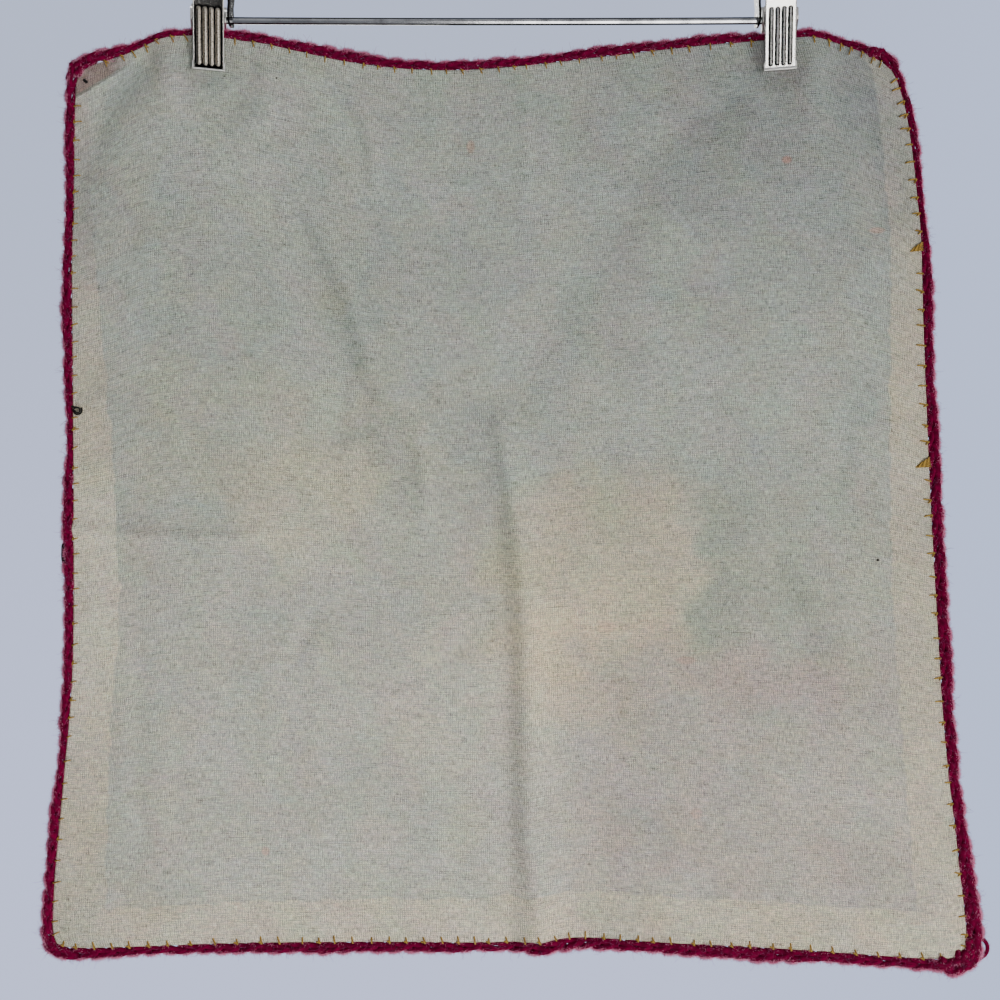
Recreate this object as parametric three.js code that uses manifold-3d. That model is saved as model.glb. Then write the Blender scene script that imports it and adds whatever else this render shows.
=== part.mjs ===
// Square arpillera cloth with a crochet edging, gripped along its top by the two clips of a wire hanger.
// Millimetres, +Z up, the viewer in front at -Y, looking at the cloth's reverse side.
// The origin is the hang point, the top of the hook's inside, so everything lies below it.

import * as THREE from 'three';
import { mergeVertices } from 'three/addons/utils/BufferGeometryUtils.js';
import Module from 'manifold-3d';

const wasm = await Module();
wasm.setup();

// Driving dimensions
const BAR_DROP = 150; // bar's centre line below the hang point
const BAR_DIAMETER = 3.5;
const BAR_HALF_LENGTH = 151;
const BAR_SAG = 0.6; // the cloth's weight bows the bar a little
const CLIP_X = 142.8; // clip centres, either side of the hook
const CLOTH_THICKNESS = 2;
const HEM_WIDTH = 19; // turned to the far side along both sides and the foot
const HEM_LAYER = 0.8;
const CORNER_RADIUS = 7;
const SWAG_DEPTH = 14; // how far the cloth sinks back between the clips
const GRID_PITCH = 15;
const STITCH_LENGTH = 8.6; // one chain of the edging
const GAP = 0.3; // between pieces that touch

// Colours of the real materials
const UNBLEACHED_COTTON = 0xc9c6ba;
const RASPBERRY_WOOL = 0xa8104c;
const CHROME = 0xc4c6ca;
const NICKEL = 0xa9a8a4;

const material = (name, color, roughness, metalness) =>
  new THREE.MeshStandardMaterial({ name, color, roughness, metalness });
const cotton = material('cotton', UNBLEACHED_COTTON, 0.95, 0);
const wool = material('wool', RASPBERRY_WOOL, 0.9, 0);
const chrome = material('chrome', CHROME, 0.15, 1);
const nickel = material('nickel', NICKEL, 0.3, 1);

const group = new THREE.Group();

function addPart(name, geometry, finish, parent = group) {
  const mesh = new THREE.Mesh(geometry, finish);
  mesh.name = name;
  parent.add(mesh);
  return mesh;
}

const smoothstep = THREE.MathUtils.smoothstep;

// Outline of the cloth, in mm from the hook's centre line and below the bar, clockwise as seen.
// Each side lists the stations between its two corners.
const CORNERS = {
  topLeft: { x: -207, drop: 27 },
  topRight: { x: 198.5, drop: 27 },
  footRight: { x: 234, drop: 466 },
  footLeft: { x: -221, drop: 462 },
};

const TOP_SIDE = [
  { x: -188, drop: 21.5 },
  { x: -170.5, drop: 12.5 },
  { x: -157, drop: 8.8 },
  { x: -143, drop: 7 },
  { x: -122, drop: 9.2 },
  { x: -98, drop: 13 },
  { x: -74, drop: 16.4 },
  { x: -45, drop: 19 },
  { x: -15, drop: 19.4 },
  { x: 20, drop: 16.2 },
  { x: 55, drop: 13.5 },
  { x: 95, drop: 10.4 },
  { x: 128, drop: 9.2 },
  { x: 144, drop: 8.8 },
  { x: 160, drop: 9.4 },
  { x: 176, drop: 15 },
  { x: 188, drop: 20.8 },
];

const RIGHT_SIDE = [
  { x: 204, drop: 47.5 },
  { x: 210, drop: 96 },
  { x: 212.5, drop: 150 },
  { x: 216, drop: 222 },
  { x: 220, drop: 297 },
  { x: 224, drop: 362 },
  { x: 229.5, drop: 415 },
];

const FOOT = [
  { x: 190, drop: 465.5 },
  { x: 128, drop: 462.5 },
  { x: 78, drop: 461.2 },
  { x: 40, drop: 461.5 },
  { x: 10, drop: 462.8 },
  { x: -45, drop: 461 },
  { x: -120, drop: 461 },
  { x: -183, drop: 462.3 },
];

const LEFT_SIDE = [
  { x: -219, drop: 435 },
  { x: -214, drop: 378 },
  { x: -210, drop: 330 },
  { x: -210, drop: 262 },
  { x: -210, drop: 190 },
  { x: -209.5, drop: 120 },
  { x: -207.5, drop: 60 },
];

// Folds of the hanging cloth. Each runs along a curve through three places, and its depth is
// measured away from the viewer: a plus is a trough, a minus a ridge.
const FOLDS = [
  { from: [-78, 26], by: [-67, 100], to: [-45, 225], halfWidth: 14, depth: 4.5 }, // down from the left clip
  { from: [-140, 60], by: [-135, 140], to: [-120, 230], halfWidth: 38, depth: -5 }, // swell beside it
  { from: [-158, 35], by: [-185, 65], to: [-200, 110], halfWidth: 14, depth: 3.5 }, // left clip to left side
  { from: [126, 40], by: [60, 90], to: [6, 190], halfWidth: 20, depth: 3 }, // right clip to the middle
  { from: [160, 35], by: [178, 55], to: [195, 90], halfWidth: 14, depth: 3 }, // right clip to right side
  { from: [0, 190], by: [12, 300], to: [18, 466], halfWidth: 12, depth: -4.5 }, // upright crease, mid to foot
  { from: [-213, 253], by: [-150, 255], to: [-90, 257], halfWidth: 10, depth: 2 }, // level crease at the left
  { from: [146, 262], by: [150, 285], to: [153, 306], halfWidth: 14, depth: 3 }, // dent at the right
  { from: [43, 330], by: [44, 400], to: [45, 480], halfWidth: 40, depth: 7 }, // hollow beside the crease
  { from: [170, 370], by: [205, 420], to: [232, 480], halfWidth: 60, depth: -7 }, // right foot corner swings out
  { from: [-180, 390], by: [-205, 430], to: [-222, 470], halfWidth: 50, depth: -4 }, // left foot corner
];

const FOLD_STEPS = 20;

function foldPath({ from, by, to }) {
  const start = new THREE.Vector2(...from);
  const end = new THREE.Vector2(...to);
  const pull = new THREE.Vector2(...by).multiplyScalar(2).addScaledVector(start.clone().add(end), -0.5);
  return new THREE.QuadraticBezierCurve(start, pull, end).getPoints(FOLD_STEPS);
}

const foldPaths = FOLDS.map(foldPath);

// Where a clip grips, the cloth lies flat along the clip, which is turned a little inwards.
const CLIPS = [
  { side: 'left', x: -CLIP_X, turn: THREE.MathUtils.degToRad(14) },
  { side: 'right', x: CLIP_X, turn: -THREE.MathUtils.degToRad(11) },
];
const GRIP = { halfWidth: 11, blendWidth: 30, drop: 34, blendDrop: 70 };

function clothDepth(x, drop) {
  const across = THREE.MathUtils.clamp(x / CLIP_X, -1.5, 1.5);
  const SWAG_FADE = 170;
  let depth = SWAG_DEPTH * Math.cos((Math.PI / 2) * across) * Math.exp(-Math.max(0, drop - 8) / SWAG_FADE);
  const here = new THREE.Vector2(x, drop);
  FOLDS.forEach((fold, i) => {
    const distance = Math.min(...foldPaths[i].map((point) => point.distanceTo(here)));
    depth += fold.depth * Math.exp(-((distance / fold.halfWidth) ** 2));
  });
  for (const clip of CLIPS) {
    const aside = 1 - smoothstep(Math.abs(x - clip.x), GRIP.halfWidth, GRIP.blendWidth);
    const below = 1 - smoothstep(drop, GRIP.drop, GRIP.blendDrop);
    depth = THREE.MathUtils.lerp(depth, (x - clip.x) * Math.tan(clip.turn), aside * below);
  }
  return depth;
}

const onCloth = (x, drop) => new THREE.Vector3(x, clothDepth(x, drop), -BAR_DROP - drop);

// The four sides as curves, with the corners between them rounded.
function roundedCorner(before, corner, after) {
  const towards = (place) => {
    const step = new THREE.Vector2(place.x - corner.x, place.drop - corner.drop).setLength(CORNER_RADIUS);
    return { x: corner.x + step.x, drop: corner.drop + step.y };
  };
  const arrive = towards(before);
  const leave = towards(after);
  const middle = {
    x: (arrive.x + 2 * corner.x + leave.x) / 4,
    drop: (arrive.drop + 2 * corner.drop + leave.drop) / 4,
  };
  return { arrive, middle, leave };
}

const corner = {
  topLeft: roundedCorner(LEFT_SIDE.at(-1), CORNERS.topLeft, TOP_SIDE[0]),
  topRight: roundedCorner(TOP_SIDE.at(-1), CORNERS.topRight, RIGHT_SIDE[0]),
  footRight: roundedCorner(RIGHT_SIDE.at(-1), CORNERS.footRight, FOOT[0]),
  footLeft: roundedCorner(FOOT.at(-1), CORNERS.footLeft, LEFT_SIDE[0]),
};

function sideCurve(start, stations, end) {
  const places = [start.middle, start.leave, ...stations, end.arrive, end.middle];
  const curve = new THREE.CatmullRomCurve3(places.map(({ x, drop }) => new THREE.Vector3(x, drop, 0)));
  curve.arcLengthDivisions = 600;
  return curve;
}

const sides = {
  top: sideCurve(corner.topLeft, TOP_SIDE, corner.topRight),
  right: sideCurve(corner.topRight, RIGHT_SIDE, corner.footRight),
  foot: sideCurve(corner.footRight, FOOT, corner.footLeft),
  left: sideCurve(corner.footLeft, LEFT_SIDE, corner.topLeft),
};

// A place inside the outline from its shares across and down, blended from the four sides.
function outlinePlace(across, down) {
  const top = sides.top.getPointAt(across);
  const foot = sides.foot.getPointAt(1 - across);
  const left = sides.left.getPointAt(1 - down);
  const right = sides.right.getPointAt(down);
  const blend = (key) => {
    const fromCorners =
      (1 - across) * (1 - down) * corner.topLeft.middle[key] +
      across * (1 - down) * corner.topRight.middle[key] +
      (1 - across) * down * corner.footLeft.middle[key] +
      across * down * corner.footRight.middle[key];
    const axis = key === 'x' ? 'x' : 'y';
    const fromSides =
      (1 - down) * top[axis] + down * foot[axis] + (1 - across) * left[axis] + across * right[axis];
    return fromSides - fromCorners;
  };
  return { x: blend('x'), drop: blend('drop') };
}

// Backing cloth: one square of unbleached cotton, its hem turned to the far side.
function spread(marks, length, pitch) {
  const stations = [marks[0]];
  for (let i = 1; i < marks.length; i += 1) {
    const count = Math.ceil(((marks[i] - marks[i - 1]) * length) / pitch - 0.2);
    for (let k = 1; k <= count; k += 1) {
      stations.push(THREE.MathUtils.lerp(marks[i - 1], marks[i], k / count));
    }
  }
  return stations;
}

function shareAtX(curve, x) {
  let low = 0;
  let high = 1;
  while (high - low > 1e-6) {
    const middle = (low + high) / 2;
    if (curve.getPointAt(middle).x < x) low = middle;
    else high = middle;
  }
  return low;
}

function clothGrid() {
  const width = sides.top.getLength();
  const height = sides.left.getLength();
  const HEM_STEP = 1.5;
  const hemAcross = HEM_WIDTH / width;
  const hemDown = HEM_WIDTH / height;
  const grips = CLIPS.flatMap((clip) => [-10, 0, 10].map((aside) => shareAtX(sides.top, clip.x + aside)));
  const hemIn = (HEM_WIDTH + HEM_STEP) / width;
  const acrossMarks = [0, hemAcross, hemIn, ...grips, 1 - hemIn, 1 - hemAcross, 1];
  const gripRows = [11 / height, 25 / height];
  const downMarks = [0, ...gripRows, 1 - (HEM_WIDTH + HEM_STEP) / height, 1 - hemDown, 1];
  return {
    across: spread(acrossMarks, width, GRID_PITCH),
    down: spread(downMarks, height, GRID_PITCH),
    inHem: (a, d) => a <= hemAcross + 1e-9 || a >= 1 - hemAcross - 1e-9 || d >= 1 - hemDown - 1e-9,
  };
}

function clothSolid() {
  const grid = clothGrid();
  const columns = grid.across.length;
  const rows = grid.down.length;
  const near = [];
  const far = [];
  for (const down of grid.down) {
    for (const across of grid.across) {
      const { x, drop } = outlinePlace(across, down);
      const middle = onCloth(x, drop);
      const hem = grid.inHem(across, down) ? HEM_LAYER : 0;
      near.push(middle.x, middle.y - CLOTH_THICKNESS / 2, middle.z);
      far.push(middle.x, middle.y + CLOTH_THICKNESS / 2 + hem, middle.z);
    }
  }
  const farStart = columns * rows;
  const index = [];
  const quad = (a, b, c, d) => index.push(a, b, c, a, c, d);
  for (let r = 0; r + 1 < rows; r += 1) {
    for (let c = 0; c + 1 < columns; c += 1) {
      const topLeft = r * columns + c;
      const footLeft = topLeft + columns;
      quad(topLeft, footLeft, footLeft + 1, topLeft + 1);
      quad(farStart + topLeft, farStart + topLeft + 1, farStart + footLeft + 1, farStart + footLeft);
    }
  }
  const rim = [];
  for (let c = 0; c + 1 < columns; c += 1) rim.push(c);
  for (let r = 0; r + 1 < rows; r += 1) rim.push(r * columns + columns - 1);
  for (let c = columns - 1; c > 0; c -= 1) rim.push((rows - 1) * columns + c);
  for (let r = rows - 1; r > 0; r -= 1) rim.push(r * columns);
  rim.forEach((a, i) => {
    const b = rim[(i + 1) % rim.length];
    quad(a, b, farStart + b, farStart + a);
  });
  const geometry = new THREE.BufferGeometry();
  geometry.setAttribute('position', new THREE.Float32BufferAttribute([...near, ...far], 3));
  geometry.setIndex(index);
  return geometry;
}

addPart('backing_cloth', clothSolid(), cotton);

// Crochet edging: one closed ring of wool chain, each stitch a bead that is narrow where it
// leaves the last one. Its width wanders as hand work does, and it ends in a lump at the foot.
const EDGING = [
  { side: 'top', width: 4.5, depth: 3.6 },
  { side: 'right', width: 4.6, depth: 3.6 },
  { side: 'foot', width: 4.5, depth: 3.6 },
  { side: 'left', width: 4.3, depth: 3.6 },
];
const PRESSED = { halfWidth: 13, blendWidth: 24, width: 3.1, depth: 3 }; // where a clip closes over it
const STITCH_RINGS = [
  { along: 0, swell: 0.78 },
  { along: 0.38, swell: 1 },
  { along: 0.74, swell: 1.12 },
];
const EDGING_FACETS = 6;
const LUMPS = [
  { x: CORNERS.footRight.x + 2, drop: CORNERS.footRight.drop + 2, reach: 12, swell: 0.55 }, // fastened-off end
  { x: CORNERS.topRight.x, drop: CORNERS.topRight.drop - 5, reach: 10, swell: 0.25 },
  { x: CORNERS.topLeft.x, drop: CORNERS.topLeft.drop - 4, reach: 9, swell: 0.2 },
];

const inAClip = (x, halfWidth, blendWidth) =>
  Math.max(...CLIPS.map((clip) => 1 - smoothstep(Math.abs(x - clip.x), halfWidth, blendWidth)));

function edgingRings() {
  const rings = [];
  for (const { side, width, depth } of EDGING) {
    const curve = sides[side];
    const stitches = Math.round(curve.getLength() / STITCH_LENGTH);
    for (let stitch = 0; stitch < stitches; stitch += 1) {
      for (const { along, swell } of STITCH_RINGS) {
        const place = curve.getPointAt((stitch + along) / stitches);
        const wander = 1 + 0.07 * Math.sin(stitch * 0.9 + width) + 0.05 * Math.sin(stitch * 2.3 + depth);
        const lump = LUMPS.reduce((sum, knot) => {
          const distance = Math.hypot(place.x - knot.x, place.y - knot.drop);
          return sum + knot.swell * Math.exp(-((distance / knot.reach) ** 2));
        }, 1);
        const size = swell * wander * lump;
        const pressed = side === 'top' ? inAClip(place.x, PRESSED.halfWidth, PRESSED.blendWidth) : 0;
        rings.push({
          x: place.x,
          drop: place.y,
          halfWidth: (THREE.MathUtils.lerp(width, PRESSED.width, pressed) / 2) * size,
          halfDepth: (THREE.MathUtils.lerp(depth, PRESSED.depth, pressed) / 2) * size,
        });
      }
    }
  }
  return rings;
}

function edgingSolid() {
  const rings = edgingRings();
  const count = rings.length;
  const EDGE_GAP = 0.5;
  const position = [];
  rings.forEach((ring, i) => {
    const before = rings[(i + count - 1) % count];
    const after = rings[(i + 1) % count];
    // the sides run clockwise as seen, so outwards is to the left of the way they run
    const outward = new THREE.Vector2(after.drop - before.drop, -(after.x - before.x)).normalize();
    const offset = ring.halfWidth + EDGE_GAP;
    const depth = clothDepth(ring.x, ring.drop);
    for (let facet = 0; facet < EDGING_FACETS; facet += 1) {
      const angle = (2 * Math.PI * facet) / EDGING_FACETS;
      const reach = offset + ring.halfWidth * Math.cos(angle);
      const x = ring.x + outward.x * reach;
      const drop = ring.drop + outward.y * reach;
      position.push(x, depth + ring.halfDepth * Math.sin(angle), -BAR_DROP - drop);
    }
  });
  const index = [];
  for (let i = 0; i < count; i += 1) {
    const next = ((i + 1) % count) * EDGING_FACETS;
    for (let facet = 0; facet < EDGING_FACETS; facet += 1) {
      const turned = (facet + 1) % EDGING_FACETS;
      const a = i * EDGING_FACETS + facet;
      const b = i * EDGING_FACETS + turned;
      index.push(a, next + facet, next + turned, a, next + turned, b);
    }
  }
  const geometry = new THREE.BufferGeometry();
  geometry.setAttribute('position', new THREE.Float32BufferAttribute(position, 3));
  geometry.setIndex(index);
  return geometry;
}

addPart('crochet_edging', edgingSolid(), wool);

// Solids that are cut or joined
function toSolid(geometry) {
  const bare = geometry.clone();
  bare.deleteAttribute('normal');
  bare.deleteAttribute('uv');
  const merged = mergeVertices(bare, 1e-4);
  const corners = merged.index.array;
  const triVerts = [];
  for (let i = 0; i < corners.length; i += 3) {
    const [a, b, c] = corners.slice(i, i + 3);
    // a rounded end's pole has triangles with no area
    if (a !== b && b !== c && c !== a) triVerts.push(a, b, c);
  }
  return new wasm.Manifold(
    new wasm.Mesh({
      numProp: 3,
      vertProperties: new Float32Array(merged.attributes.position.array),
      triVerts: new Uint32Array(triVerts),
    }),
  );
}

function toGeometry(solid) {
  const mesh = solid.getMesh();
  const geometry = new THREE.BufferGeometry();
  geometry.setAttribute('position', new THREE.BufferAttribute(new Float32Array(mesh.vertProperties), 3));
  geometry.setIndex(new THREE.BufferAttribute(new Uint32Array(mesh.triVerts), 1));
  return geometry;
}

const joined = (geometries) =>
  geometries.map(toSolid).reduce((whole, piece) => whole.add(piece));

// Round wire along a path
function wireAlong(path, diameter, sidesOfWire, steps) {
  const section = new THREE.Shape();
  for (let i = 0; i < sidesOfWire; i += 1) {
    const angle = (2 * Math.PI * (i + 0.5)) / sidesOfWire;
    const x = (diameter / 2) * Math.cos(angle);
    const y = (diameter / 2) * Math.sin(angle);
    if (i === 0) section.moveTo(x, y);
    else section.lineTo(x, y);
  }
  section.closePath();
  return new THREE.ExtrudeGeometry(section, { steps, bevelEnabled: false, extrudePath: path });
}

const place3 = (x, height) => new THREE.Vector3(x, 0, -BAR_DROP + height);

// Bar: thin chrome rod that carries the clips
const barPath = new THREE.QuadraticBezierCurve3(
  place3(-BAR_HALF_LENGTH, 0),
  place3(0, -2 * BAR_SAG),
  place3(BAR_HALF_LENGTH, 0),
);
addPart('hanger_bar', wireAlong(barPath, BAR_DIAMETER, 10, 12), chrome);

// Drop links: two steel straps that hang from the frame's ends and carry the bar inside the clips
const LINK = {
  inset: 11, // from the clip's centre
  thickness: 1.2,
  earHalf: 5,
  earFoot: 3,
  waistHalf: 3.8,
  waist: 7.5, // heights above the bar
  shoulder: 14,
  topRadius: 6,
  pinHeight: 24,
};
const FRAME_DIAMETER = 3.5;

function linkSolid() {
  const outline = new THREE.Shape();
  outline.absellipse(0, 0, LINK.earHalf, LINK.earFoot, Math.PI, 2 * Math.PI, false);
  outline.lineTo(LINK.earHalf - 0.4, LINK.waist / 2);
  outline.lineTo(LINK.waistHalf, LINK.waist);
  outline.lineTo(LINK.topRadius, LINK.shoulder);
  outline.absarc(0, LINK.pinHeight, LINK.topRadius, 0, Math.PI, false);
  outline.lineTo(-LINK.topRadius, LINK.shoulder);
  outline.lineTo(-LINK.waistHalf, LINK.waist);
  outline.lineTo(-LINK.earHalf + 0.4, LINK.waist / 2);
  outline.closePath();
  const barHole = new THREE.Path().absarc(0, 0, BAR_DIAMETER / 2 + GAP, 0, 2 * Math.PI, true);
  const pinHole = new THREE.Path();
  pinHole.absarc(0, LINK.pinHeight, FRAME_DIAMETER / 2 + GAP, 0, 2 * Math.PI, true);
  outline.holes.push(barHole, pinHole);
  const strap = new THREE.ExtrudeGeometry(outline, {
    depth: LINK.thickness,
    bevelEnabled: false,
    curveSegments: 8,
  });
  strap.translate(0, 0, -LINK.thickness / 2);
  strap.rotateX(Math.PI / 2);
  strap.rotateZ(Math.PI / 2);
  return strap;
}

const barHeightAt = (x) => -BAR_SAG * (1 - (x / BAR_HALF_LENGTH) ** 2);
const linkX = CLIP_X - LINK.inset;

for (const { side, x } of CLIPS) {
  const link = addPart(`drop_link_${side}`, linkSolid(), nickel);
  link.position.copy(place3(Math.sign(x) * linkX, barHeightAt(linkX)));
}

// Frame: two wire arms brazed into the neck sleeve, their outer ends turned level as pins
const FRAME = { rise: 46, pinOuter: 3, bend: 7, sleeveRadius: 5, sleeveHeight: 16 };
const pinHeight = LINK.pinHeight + barHeightAt(linkX);
const neckHeight = pinHeight + FRAME.rise;

function armPath(hand) {
  const inner = linkX - 4;
  const slope = (FRAME.rise - 4) / inner;
  const path = new THREE.CurvePath();
  const bendIn = place3(hand * inner, pinHeight);
  const bendOut = place3(hand * (inner - FRAME.bend), pinHeight + FRAME.bend * slope);
  path.add(new THREE.LineCurve3(place3(hand * (linkX + FRAME.pinOuter), pinHeight), bendIn));
  path.add(new THREE.QuadraticBezierCurve3(bendIn, place3(hand * (inner - 3), pinHeight), bendOut));
  path.add(new THREE.LineCurve3(bendOut, place3(hand * 1, neckHeight - 3)));
  return path;
}

function sleeveSolid() {
  const { sleeveRadius, sleeveHeight } = FRAME;
  const bore = FRAME_DIAMETER / 2 + GAP;
  const profile = [
    new THREE.Vector2(bore, -sleeveHeight / 2),
    new THREE.Vector2(sleeveRadius - 1, -sleeveHeight / 2),
    new THREE.Vector2(sleeveRadius, -sleeveHeight / 2 + 1),
    new THREE.Vector2(sleeveRadius, sleeveHeight / 2 - 1),
    new THREE.Vector2(sleeveRadius - 1, sleeveHeight / 2),
    new THREE.Vector2(bore, sleeveHeight / 2),
    new THREE.Vector2(bore, -sleeveHeight / 2),
  ];
  const sleeve = new THREE.LatheGeometry(profile, 16);
  sleeve.rotateX(Math.PI / 2);
  sleeve.translate(0, 0, -BAR_DROP + neckHeight);
  return sleeve;
}

function frameSolid() {
  const arms = [-1, 1].map((hand) => wireAlong(armPath(hand), FRAME_DIAMETER, 8, 24));
  const bore = new THREE.CylinderGeometry(
    FRAME_DIAMETER / 2 + GAP, FRAME_DIAMETER / 2 + GAP, FRAME.sleeveHeight + 8, 16);
  bore.rotateX(Math.PI / 2);
  bore.translate(0, 0, -BAR_DROP + neckHeight);
  return toGeometry(joined([...arms, sleeveSolid()]).subtract(toSolid(bore)));
}

addPart('hanger_frame', frameSolid(), chrome);

// Hook: one wire, headed under the sleeve, that swivels in it. Its bend hangs over a rail.
const HOOK = { radius: 18, headRadius: 3.6, headHeight: 2, tip: 14 };

function hookSolid() {
  const centre = FRAME_DIAMETER / 2 - HOOK.radius; // of the bend, below the hang point
  const wireRadius = HOOK.radius;
  const stemFoot = -BAR_DROP + neckHeight - FRAME.sleeveHeight / 2 - GAP;
  const at = (x, z) => new THREE.Vector3(x, 0, z);
  const path = new THREE.CurvePath();
  const shoulder = centre - wireRadius - 8;
  path.add(new THREE.LineCurve3(at(0, stemFoot), at(0, shoulder - 6)));
  path.add(new THREE.CubicBezierCurve3(
    at(0, shoulder - 6), at(0, shoulder + 6), at(wireRadius, centre - 14), at(wireRadius, centre)));
  const turns = 12;
  for (let i = 0; i < turns; i += 1) {
    const from = (Math.PI * i) / turns;
    const to = (Math.PI * (i + 1)) / turns;
    path.add(new THREE.LineCurve3(
      at(wireRadius * Math.cos(from), centre + wireRadius * Math.sin(from)),
      at(wireRadius * Math.cos(to), centre + wireRadius * Math.sin(to))));
  }
  path.add(new THREE.LineCurve3(at(-wireRadius, centre), at(-wireRadius + 1, centre - HOOK.tip)));
  const wire = wireAlong(path, FRAME_DIAMETER, 8, 44);
  const head = new THREE.CylinderGeometry(HOOK.headRadius, HOOK.headRadius, HOOK.headHeight, 12);
  head.rotateX(Math.PI / 2);
  head.translate(0, 0, stemFoot - HOOK.headHeight / 2 + 0.2);
  return toGeometry(joined([wire, head]));
}

addPart('hanger_hook', hookSolid(), chrome);

// Clip jaws: steel pressings, each a plate with four ribs, a flared foot that bites the cloth, and
// narrow flanges that widen into ears around the bar. The front jaw's ears lie inside the back one's.
const JAW = {
  width: 14.8,
  footWidth: 16,
  footHeight: 3.5,
  leverTop: 14, // above the bar
  foot: -24.6,
  thickness: 1,
  plateOffset: 6.6, // plate's inner face from the bar's centre
  bite: 1.35, // plate's inner face from the cloth's middle at the foot
  ribCount: 4,
  ribPitch: 3.05,
  ribRadius: 1.05,
  ribTop: 4.8,
  ribFoot: -22.4,
  lip: 0.9,
};

function plateSolid(width, footWidth) {
  const half = width / 2;
  const footHalf = footWidth / 2;
  const foot = JAW.foot;
  const outline = new THREE.Shape([
    new THREE.Vector2(-footHalf, foot),
    new THREE.Vector2(footHalf, foot),
    new THREE.Vector2(footHalf, foot + JAW.footHeight),
    new THREE.Vector2(half, foot + JAW.footHeight + 0.8),
    new THREE.Vector2(half, JAW.leverTop - 2),
    new THREE.Vector2(half - 2, JAW.leverTop),
    new THREE.Vector2(-half + 2, JAW.leverTop),
    new THREE.Vector2(-half, JAW.leverTop - 2),
    new THREE.Vector2(-half, foot + JAW.footHeight + 0.8),
    new THREE.Vector2(-footHalf, foot + JAW.footHeight),
  ]);
  const plate = new THREE.ExtrudeGeometry(outline, { depth: JAW.thickness, bevelEnabled: false });
  plate.rotateX(Math.PI / 2);
  plate.translate(0, -JAW.plateOffset, 0);
  return plate;
}

function lipSolid(footWidth) {
  const lip = new THREE.BoxGeometry(footWidth, JAW.thickness + JAW.lip, JAW.thickness);
  lip.translate(0, -JAW.plateOffset - (JAW.thickness + JAW.lip) / 2, JAW.foot + JAW.thickness / 2);
  return lip;
}

function ribSolids() {
  const length = JAW.ribTop - JAW.ribFoot - 2 * JAW.ribRadius;
  const middle = (JAW.ribTop + JAW.ribFoot) / 2;
  return Array.from({ length: JAW.ribCount }, (_, i) => {
    const rib = new THREE.CapsuleGeometry(JAW.ribRadius, length, 2, 8);
    rib.rotateX(Math.PI / 2);
    const x = (i - (JAW.ribCount - 1) / 2) * JAW.ribPitch;
    rib.translate(x, -JAW.plateOffset - JAW.thickness + 0.25, middle);
    return rib;
  });
}

// The jaws lean together until their feet meet the cloth.
const jawLean =
  Math.atan2(JAW.plateOffset, -JAW.foot) - Math.asin(JAW.bite / Math.hypot(JAW.plateOffset, JAW.foot));

// Flange and ear in one flat cheek, drawn in depth and height. Its slot is level and lets the jaw
// turn a little on the bar.
function cheekSolid(x, slotHalf) {
  const FLANGE = { deep: 2, shallow: 0.7, foot: -19, earTop: 5.4, earFoot: 2.9, earReach: 5.1 };
  const back = -JAW.plateOffset - JAW.thickness / 2;
  const front = -JAW.plateOffset;
  const outline = new THREE.Shape();
  outline.moveTo(back, FLANGE.foot);
  outline.lineTo(front + FLANGE.shallow, FLANGE.foot);
  outline.lineTo(front + FLANGE.deep, -FLANGE.earFoot);
  outline.lineTo(FLANGE.earReach - 1.2, -FLANGE.earFoot);
  outline.lineTo(FLANGE.earReach, -FLANGE.earFoot + 1.2);
  outline.lineTo(FLANGE.earReach, FLANGE.earTop - 3);
  outline.lineTo(FLANGE.earReach - 3, FLANGE.earTop);
  outline.lineTo(front + FLANGE.deep, FLANGE.earTop + 0.6);
  outline.lineTo(front + FLANGE.deep, JAW.leverTop - 2);
  outline.lineTo(back, JAW.leverTop - 2);
  outline.closePath();
  const slot = new THREE.Path();
  const slotRadius = BAR_DIAMETER / 2 + GAP;
  const endX = slotHalf * Math.cos(jawLean);
  const endZ = -slotHalf * Math.sin(jawLean);
  slot.absarc(endX, endZ, slotRadius, -Math.PI / 2 - jawLean, Math.PI / 2 - jawLean, false);
  slot.absarc(-endX, -endZ, slotRadius, Math.PI / 2 - jawLean, (3 * Math.PI) / 2 - jawLean, false);
  slot.closePath();
  outline.holes.push(slot);
  const cheek = new THREE.ExtrudeGeometry(outline, {
    depth: JAW.thickness,
    bevelEnabled: false,
    curveSegments: 4,
  });
  cheek.translate(0, 0, -JAW.thickness / 2);
  cheek.rotateX(Math.PI / 2);
  cheek.rotateZ(Math.PI / 2);
  cheek.translate(x, 0, 0);
  return cheek;
}

function jawSolid(earSpread, slotHalf) {
  const width = Math.max(JAW.width, earSpread);
  const footWidth = JAW.footWidth;
  const earX = earSpread / 2 - JAW.thickness / 2;
  const cheeks = [-earX, earX].map((x) => cheekSolid(x, slotHalf));
  return toGeometry(joined([plateSolid(width, footWidth), lipSolid(footWidth), ...ribSolids(), ...cheeks]));
}

// Coil spring around the bar, its legs pressing the two levers apart
const SPRING = { wire: 0.9, coilRadius: 2.7, turns: 4, halfLength: 4, legX: 3, legHeight: 9, legReach: 7.8 };
const STEPS_PER_TURN = 10;

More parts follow.
